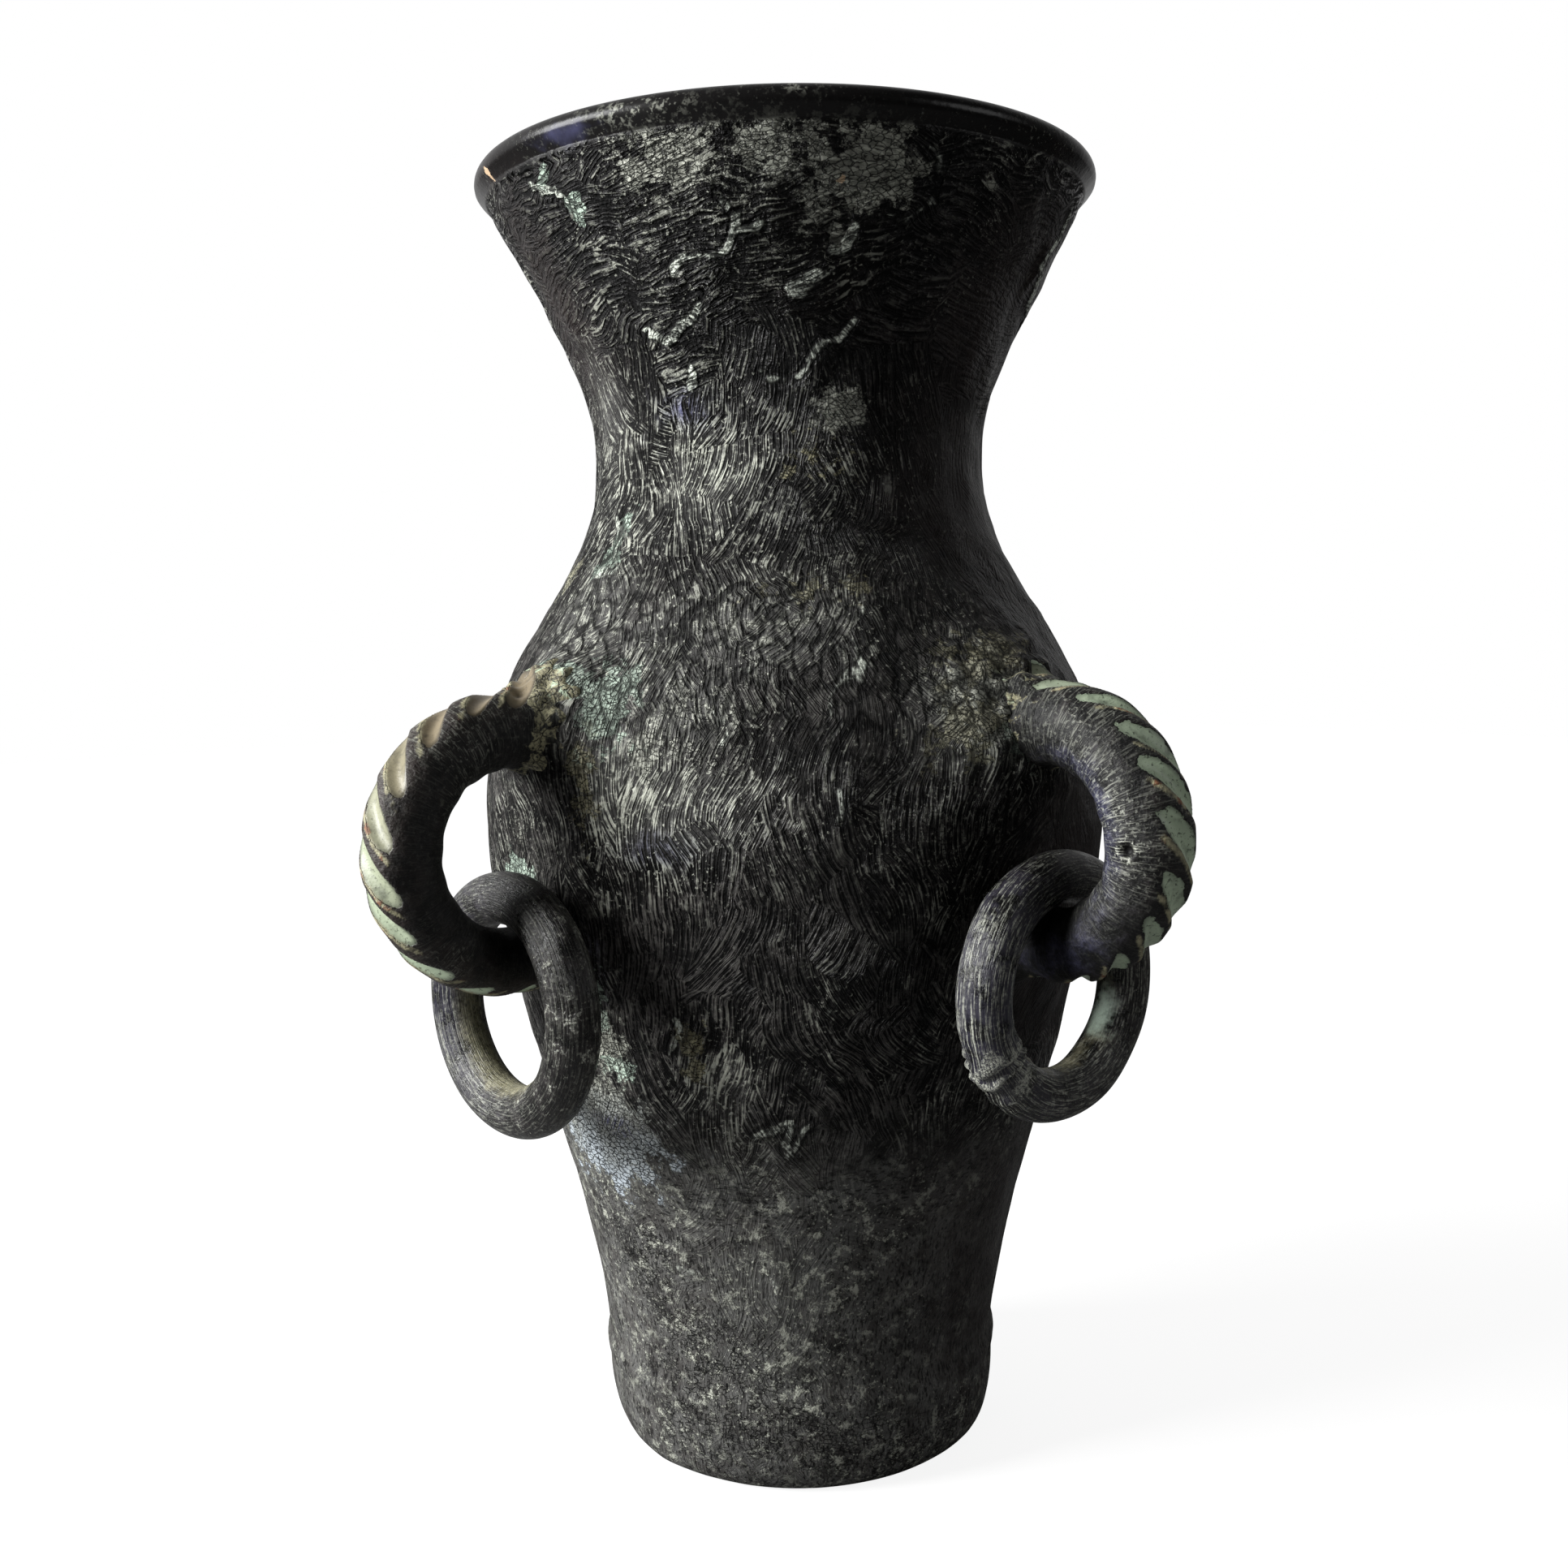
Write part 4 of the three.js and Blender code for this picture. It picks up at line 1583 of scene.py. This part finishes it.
@dataclass
class Handle:
    """A rolled coil bent into a loop, with slanting scoops pressed into its outer side."""

    place: Place
    turn: float
    thickness: float
    bar_height: float
    vessel: Vessel
    mint_share: float = 0.6
    root_rise: float = 8.0
    root_reach: float = 13.0
    sheen: float = 0.0
    top_height: float = 210.0
    seat: float = 97.9
    root_depth: float = 4.0
    upper_flare: float = 6.5
    upper_flare_length: float = 17.0
    lower_flare: float = 2.5
    lower_flare_length: float = 6.0
    taper: float = 1.2
    taper_start: float = 0.45
    taper_end: float = 0.8
    scoop_count: int = 11
    scoop_depth: float = 2.0
    scoop_slant: float = 8.4
    scoop_half_share: float = 0.36
    scoop_half_angle: float = math.radians(48)
    scoop_middle: float = math.radians(5)
    scoop_margin: float = 11.0
    hand: float = 0.1
    knead_rise: float = 0.12
    knead_inset: float = 0.2
    root_wrinkle: float = 0.7
    pit_share: float = 0.505
    pit_angle: float = math.radians(-84)
    pit_half_share: float = 0.011
    pit_half_angle: float = 0.15
    pit_depth: float = 1.5
    pit_rim: float = 0.5
    bend_steps: int = 600
    steps: int = 340
    sides: int = 120

    def path(self) -> tuple[Field, Field]:
        """Middle line of the coil in its upright plane: out from the wall, round the bend and back.

        Returns:
            Evenly spaced points of radius and height, and the length along the line at each.
        """
        bend = (self.top_height - self.bar_height) / 2
        swing = np.linspace(np.pi / 2, -np.pi / 2, self.bend_steps)
        upper = (self.vessel.radius_at(self.top_height) - self.root_depth, self.top_height)
        lower = (self.vessel.radius_at(self.bar_height) - self.root_depth, self.bar_height)
        round_bend = np.stack([
            self.seat + bend * np.cos(swing),
            self.bar_height + bend + bend * np.sin(swing),
        ], axis=1)
        line = np.concatenate([[upper], round_bend, [lower]])
        length = np.linalg.norm(np.diff(line, axis=0), axis=1).sum()
        points = np.concatenate([even(line, self.steps - 1), [lower]])
        return points, np.linspace(0, length, self.steps)

    def scoops(self, distance: Field, angle: Field) -> tuple[Field, Field, Field]:
        """Where the scoops are.

        A scoop's middle line slants along the coil with the sine of the angle. Depth is one less the
        squares of the distance from the nearest middle line and of the angle from the scoop's middle, in
        shares of its half sizes, which differ a little from scoop to scoop as a hand presses them.

        Args:
            distance: length along the coil.
            angle: angle round the coil, with 0 on the outer side of the bend.

        Returns:
            On the grid: depth, which is below 0 outside a scoop, distance along in half sizes, and which
            scoop is the nearest.
        """
        chance = np.random.default_rng(round(self.turn) % 360)
        shift, longer, wider = 1 + self.hand * chance.uniform(-1, 1, (3, self.scoop_count))
        pitch = (distance.max() - 2 * self.scoop_margin) / (self.scoop_count - 1)
        turns = (distance - self.scoop_margin - self.scoop_slant * np.sin(angle)) / pitch
        nearest = np.clip(np.round(turns), 0, self.scoop_count - 1).astype(int)
        along = (turns - nearest - 1 + shift[nearest]) / (self.scoop_half_share * longer[nearest])
        around = (angle - self.scoop_middle) / (self.scoop_half_angle * wider[nearest])
        return 1 - along**2 - around**2, along, nearest

    def build(self) -> Skin:
        """The coil's surface: a circle of varying radius carried along the middle line.

        Returns:
            The surface with its scoops, coil coordinates, worn places and painted highlights.
        """
        line, length = self.path()
        slope = np.gradient(line, axis=0)
        slope /= np.linalg.norm(slope, axis=1, keepdims=True)
        distance = length[:, None]
        share = distance / length[-1]
        # The columns run backwards, so that the faces point out of the coil
        turn = np.linspace(1, 0, self.sides, endpoint=False)
        angle = (2 * np.pi * np.where(turn > 0.5, turn - 1, turn))[None, :]
        depth, along, nearest = self.scoops(distance, angle)
        scoop = np.maximum(0, depth)
        upper = np.clip(1 - (distance - self.root_depth) / self.upper_flare_length, 0, 1)
        lower = np.clip(1 - (length[-1] - distance - self.root_depth) / self.lower_flare_length, 0, 1)
        radius = self.thickness / 2 - self.taper * ease(share, self.taper_start, self.taper_end)
        radius = radius + self.upper_flare * upper**2 + self.lower_flare * lower**2
        across = (radius * np.cos(angle), radius * np.sin(angle))
        coil = np.stack(np.broadcast_arrays(distance, *across), axis=-1)
        knead = self.knead_rise * ripples(coil, 9, 21) + self.knead_rise * ripples(coil, 24, 22)
        knead = knead - self.knead_inset
        radius = radius - self.scoop_depth * scoop + knead * (1 - ease(scoop, 0, 0.2))
        hollow, rim = self.pit(share, angle)
        radius = radius + self.root_wrinkle * upper * ripples(coil, 6, 23)
        radius = radius - self.pit_depth * hollow + self.pit_rim * rim
        outward = radius * np.cos(angle)
        grid = np.stack([
            line[:, :1] - slope[:, 1:] * outward,
            radius * np.sin(angle),
            line[:, 1:] + slope[:, :1] * outward,
        ], axis=-1)
        worn_and_highlight = self.wear(share, angle, upper, depth, along, nearest)
        values = {"coil": coil, **{wear.value: value for wear, value in worn_and_highlight.items()}}
        return Skin(turned(grid, self.turn), values=values)

    def pit(self, share: Field, angle: Field) -> tuple[Field, Field]:
        """A small burst bubble with a raised rim, on a handle with a sheen.

        Args:
            share: share of the coil's length.
            angle: angle round the coil.

        Returns:
            The hollow and its rim, from 0 to 1 on the grid.
        """
        reach = np.hypot(
            (share - self.pit_share) / self.pit_half_share,
            (angle - self.pit_angle) / self.pit_half_angle,
        )
        there = float(self.sheen > 0)
        return there * bell(reach**2), there * bell(((reach - 1.5) / 0.5) ** 2)

    def wear(
        self, share: Field, angle: Field, root: Field, depth: Field, along: Field, nearest: Field
    ) -> dict[Wear, Field]:
        """Worn places of the paint, and where highlights are painted on it.

        Args:
            share: share of the coil's length.
            angle: angle round the coil.
            root: strength of the upper root's swelling.
            depth: depth of the scoops, below 0 outside them.
            along: distance along from the nearest scoop's middle, in half sizes.
            nearest: which scoop is the nearest.

        Returns:
            Strength of each kind of wear and painted highlight on the grid.
        """
        whole = np.ones_like(depth)
        hollow, rim = self.pit(share, angle)
        above = bell((angle / 1.3) ** 2)
        dusted = 0.35 * above * bell(((share - 0.1) / 0.25) ** 2)
        beside = bell(((angle + 1.75) / 0.5) ** 2) * bell(((share - 0.38) / 0.2) ** 2)
        under = bell(((angle + 2.1) / 0.5) ** 2)
        low = bell(((angle + 1.3) / 0.7) ** 2) * bell(((share - 0.8) / 0.14) ** 2)
        return {
            Wear.SCOOP: np.maximum(0, depth),
            Wear.TONE: np.clip(self.mint_share + 0.9 * (nearest / (self.scoop_count - 1) - 0.5), 0, 1),
            # Pale rim at each scoop's end, a painted highlight
            Wear.EDGE: 0.8 * bell(((along - 1.05) / 0.3) ** 2) * ease(depth + along**2, 0, 0.5),
            Wear.OLIVE: (0.75 - 0.45 * self.sheen) * ease(root, 0.05, 0.5) * whole,
            Wear.MINT_AND_HIGHLIGHT: 0.55 * self.mint_share * ease(root, 0.3, 0.8) * above,
            # Rubbed top and pit rim; the pale band beside the violet one is a painted highlight
            Wear.RUBBED_AND_HIGHLIGHT: dusted + 0.4 * self.sheen * beside + rim - hollow,
            # Violet painted highlight along the inner flank and the lower bar
            Wear.VIOLET_HIGHLIGHT: self.sheen * (0.5 * under * bell(((share - 0.42) / 0.25) ** 2) + 0.42 * low),
            Wear.BROWN_AND_SHADE: (0.1 + (0.55 - 0.4 * self.sheen) * above) * whole,
        }

    def dress(self, piece: bpy.types.Object, material: bpy.types.Material) -> None:
        """Paints the handle and puts it in its node's place."""
        piece.data.materials.append(material)
        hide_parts(f"handle_{self.place.value}")
        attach(piece, "vase")


@dataclass
class Ring:
    """A loose closed ring that hangs on a handle's lower bar.

    Laps are angles round the ring: 0 is its right side seen from outside the vessel, a quarter lap its top.
    """

    handle: Handle
    beige: float = 0.5
    streaked: float = 0.3
    seam: float = 0.0
    seam_lap: float = math.radians(215)
    seam_reach: float = 0.27
    wrinkle_laps: float = 34.0
    wrinkle_rise: float = 0.75
    pucker_rise: float = 0.2
    sway_rise: float = 0.1
    inset: float = 0.16
    hole: float = 41.2
    thickness: float = 14.0
    seat_gap: float = 0.3
    steps: int = 240
    sides: int = 64

    def build(self) -> Skin:
        """The ring's surface: a slightly uneven circle carried round a larger one, wrinkled at its seam.

        Returns:
            The surface with its coil coordinates, worn places and painted highlights.
        """
        middle = (self.hole + self.thickness) / 2
        bar_top = self.handle.bar_height + self.handle.thickness / 2 - self.handle.taper
        centre = bar_top + self.seat_gap - self.hole / 2
        lap = np.linspace(0, 2 * np.pi, self.steps, endpoint=False)[:, None]
        # The columns run backwards, so that the faces point out of the coil
        angle = np.linspace(2 * np.pi, 0, self.sides, endpoint=False)[None, :]
        coil_radius = self.thickness / 2
        flat = np.stack(np.broadcast_arrays(
            coil_radius * np.sin(angle), middle * np.cos(lap), middle * np.sin(lap) + 0 * angle), axis=-1)
        from_seam = lap - self.seam_lap
        seam = self.seam * bell((from_seam / self.seam_reach) ** 2)
        wrinkles = np.sin(self.wrinkle_laps * from_seam + 2.2 * np.sin(angle) + 1.4 * ripples(flat, 9, 33))
        puckers = self.wrinkle_rise * wrinkles + self.pucker_rise * ripples(flat, 4, 32)
        uneven = self.sway_rise * ripples(flat, 20, 31) - self.inset + seam * puckers
        radius = coil_radius + uneven
        spread = middle + radius * np.cos(angle)
        grid = np.stack(np.broadcast_arrays(
            self.handle.seat + radius * np.sin(angle),
            spread * np.cos(lap),
            centre + spread * np.sin(lap),
        ), axis=-1)
        drift = middle * (np.cos(lap) + 0.6 * np.sin(lap))
        coil = np.stack(np.broadcast_arrays(
            drift, coil_radius * np.cos(angle), coil_radius * np.sin(angle)), axis=-1)
        inner = bell(((angle - np.pi) / 0.8) ** 2)
        whole = np.ones_like(uneven)
        left = 0.5 - 0.5 * np.cos(lap)
        crown = bell(((lap - np.pi / 2) / 0.7) ** 2)
        values = {
            "coil": coil,
            # Pale streaks, stronger on the lit left side and weaker on the top, partly a painted highlight
            Wear.RUBBED_AND_HIGHLIGHT.value: self.streaked * (0.3 + 0.7 * left) * (1 - 0.6 * crown) * whole,
            Wear.OLIVE.value: self.beige * inner * (0.8 - 0.4 * np.sin(lap)),
            Wear.MOSAIC.value: 0.2 * (1 - left) * (1 - self.seam) + 1.1 * seam * ease(wrinkles, -0.2, 0.8),
            # On the seamed ring, a yellow-green painted highlight on the inner right side
            Wear.MINT_AND_HIGHLIGHT.value: 0.7 * self.seam * inner * bell(((lap - 5.8) / 0.4) ** 2),
            # Violet painted highlight on the lit left side
            Wear.VIOLET_HIGHLIGHT.value: 0.35 * left * whole,
            Wear.BROWN_AND_SHADE.value: 0.4 * whole,
        }
        return Skin(turned(grid, self.handle.turn), loop=True, values=values)

    def dress(self, piece: bpy.types.Object, material: bpy.types.Material) -> None:
        """Paints the ring and hangs it on its own body."""
        place = self.handle.place.value
        piece.data.materials.append(material)
        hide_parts(f"ring_{place}")
        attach(piece, f"{place}_ring")


@dataclass
class Studio:
    """A white floor, soft light from the left and the camera of the photograph.

    The camera's sizes are in millimetres, those of the floor and the lamps in metres, and powers in watts.
    """

    camera_turn: float = 48.0
    camera_distance: float = 466.32
    camera_height: float = 233.11
    yaw: float = math.radians(-0.33)
    pitch: float = math.radians(5.41)
    roll: float = math.radians(-0.84)
    focal_share: float = 1962 / 1932
    sensor: float = 36.0
    near_floor: Colour = paint(130, 130, 130)
    far_floor: Colour = paint(60, 60, 60)
    floor_glow: float = 0.88
    floor_half: float = 3.0
    floor_drop: float = 0.0004
    near_reach: float = 0.2
    far_reach: float = 0.8
    glow_way: tuple[float, float, float] = (-0.5, 0.86, 0.1)
    front_glow: float = 0.03
    back_glow: float = 0.65
    key_place: tuple[float, float, float] = (-1.2, -0.32, 0.66)
    key_width: float = 0.7
    key_power: float = 48.0
    fill_place: tuple[float, float, float] = (1.2, -0.5, 0.7)
    fill_width: float = 0.6
    fill_power: float = 3.2
    aim: tuple[float, float, float] = (0, 0, 0.18)

    def facing(self, sideways: float, forward: float, upward: float) -> Vector:
        """A direction or place seen from the camera's side of the vessel, in the vessel's frame."""
        return Vector(turned(np.array([sideways, forward, upward]), self.camera_turn).tolist())

    def camera(self) -> None:
        """Makes the camera: level axes turned by yaw, pitch and roll."""
        right = self.facing(math.cos(self.yaw), -math.sin(self.yaw), 0)
        ahead = self.facing(
            math.sin(self.yaw) * math.cos(self.pitch),
            math.cos(self.yaw) * math.cos(self.pitch),
            -math.sin(self.pitch),
        )
        above = right.cross(ahead)
        right, above = (
            right * math.cos(self.roll) + above * math.sin(self.roll),
            above * math.cos(self.roll) - right * math.sin(self.roll),
        )
        lens = bpy.data.cameras.new("camera")
        lens.sensor_width = self.sensor
        lens.lens = self.sensor * self.focal_share
        lens.clip_start = 0.01
        view = bpy.data.objects.new("camera", lens)
        frame = Matrix((right, above, -ahead)).transposed().to_4x4()
        frame.translation = self.facing(0, -self.camera_distance, self.camera_height) * METRES
        view.matrix_world = frame
        bpy.context.scene.collection.objects.link(view)
        bpy.context.scene.camera = view

    def floor(self) -> None:
        """Makes the floor: pale, white to the camera where no shadow falls."""
        mesh = bpy.data.meshes.new("floor")
        half = self.floor_half
        corners = ((-half, -half), (half, -half), (half, half), (-half, half))
        mesh.from_pydata([(x, y, -self.floor_drop) for x, y in corners], [], [(0, 1, 2, 3)])
        made = bpy.data.objects.new("floor", mesh)
        bpy.context.scene.collection.objects.link(made)
        material = bpy.data.materials.new("floor_white")
        material.use_nodes = True
        graph = Graph(material.node_tree)
        where = graph.node("ShaderNodeTexCoord").outputs["Object"]
        away = graph.node("ShaderNodeVectorMath", operation="LENGTH")
        graph.feed(away.inputs[0], where)
        near = graph.step(away.outputs["Value"], self.near_reach, self.far_reach, 1.0, 0.0)
        matt = graph.node("ShaderNodeBsdfDiffuse")
        graph.feed(matt.inputs["Color"], graph.blend(near, self.far_floor, self.near_floor))
        glow = graph.node("ShaderNodeEmission")
        rays = graph.node("ShaderNodeLightPath")
        shown = graph.times(rays.outputs["Is Camera Ray"], graph.mix(near, 1.0, self.floor_glow))
        graph.feed(glow.inputs["Strength"], shown)
        both = graph.node("ShaderNodeAddShader")
        graph.feed(both.inputs[0], matt.outputs[0])
        graph.feed(both.inputs[1], glow.outputs[0])
        out = graph.node("ShaderNodeOutputMaterial")
        graph.feed(out.inputs["Surface"], both.outputs[0])
        mesh.materials.append(material)

    def surroundings(self) -> None:
        """Makes the world: white to the camera, and a soft glow that is strongest behind the vessel."""
        world = bpy.data.worlds.new("studio")
        world.use_nodes = True
        bpy.context.scene.world = world
        graph = Graph(world.node_tree)
        rays = graph.node("ShaderNodeLightPath")
        toward = graph.node("ShaderNodeTexCoord").outputs["Generated"]
        behind = graph.vector("DOT_PRODUCT", toward, self.facing(*self.glow_way)[:])
        glow = graph.step(behind, -0.3, 0.85, self.front_glow, self.back_glow)
        strength = graph.most(rays.outputs["Is Camera Ray"], glow)
        light = graph.node("ShaderNodeBackground")
        graph.feed(light.inputs["Strength"], strength)
        light.inputs["Color"].default_value = (1.0, 1.0, 1.0, 1.0)
        out = graph.node("ShaderNodeOutputWorld")
        graph.feed(out.inputs["Surface"], light.outputs[0])

    def lamp(self, name: str, place: Vector, width: float, power: float) -> None:
        """Hangs a soft square lamp that points at the vessel's middle.

        Args:
            name: the lamp's name.
            place: where it hangs, in metres.
            width: its side, in metres.
            power: its power in watts.
        """
        data = bpy.data.lights.new(name, "AREA")
        data.size = width
        data.energy = power
        made = bpy.data.objects.new(name, data)
        made.location = place
        made.rotation_mode = "QUATERNION"
        made.rotation_quaternion = (Vector(self.aim) - place).to_track_quat("-Z", "Y")
        bpy.context.scene.collection.objects.link(made)

    def light(self) -> None:
        """Sets up the studio's light."""
        self.surroundings()
        self.lamp("key", self.facing(*self.key_place), self.key_width, self.key_power)
        self.lamp("fill", self.facing(*self.fill_place), self.fill_width, self.fill_power)


def main() -> None:
    """Builds the amphora's looks round its frame, piece by piece."""
    logging.basicConfig(level=logging.INFO, format="%(name)s: %(message)s")
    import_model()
    bpy.context.scene.view_settings.view_transform = "Standard"

    studio = Studio()
    studio.camera()
    studio.floor()
    studio.light()

    vessel = Vessel()
    handles = [
        Handle(Place.FRONT_LEFT, -90, 20.0, 150.8, vessel, mint_share=0.5, root_rise=7.0, root_reach=10.0),
        Handle(
            Place.FRONT_RIGHT, 0, 21.8, 154.6, vessel,
            mint_share=0.95, root_rise=9.0, root_reach=16.0, sheen=1.0,
        ),
        Handle(Place.BACK_RIGHT, 90, 21.0, 153.0, vessel),
        Handle(Place.BACK_LEFT, 180, 21.0, 153.0, vessel, mint_share=0.5),
    ]
    rings = {handle.place: Ring(handle) for handle in handles}
    rings[Place.FRONT_LEFT] = Ring(handles[0], beige=0.75, streaked=0.5)
    rings[Place.FRONT_RIGHT] = Ring(handles[1], beige=0.4, streaked=0.8, seam=1.0)
    body = vessel.build(handles).piece("thrown_vessel")
    vessel.dress(body)
    log.info("%s: %d points", body.name, len(body.data.vertices))

    handle_paint = HandlePatina().material("handle_patina")
    ring_paint = RingPatina().material("ring_patina")
    for handle in handles:
        coil = handle.build().piece(f"scooped_handle_{handle.place.value}")
        handle.dress(coil, handle_paint)
        log.info("%s: %d points", coil.name, len(coil.data.vertices))
        ring = rings[handle.place]
        loop = ring.build().piece(f"loose_ring_{handle.place.value}")
        ring.dress(loop, ring_paint)
        log.info("%s: %d points", loop.name, len(loop.data.vertices))


if __name__ == "__main__":
    main()
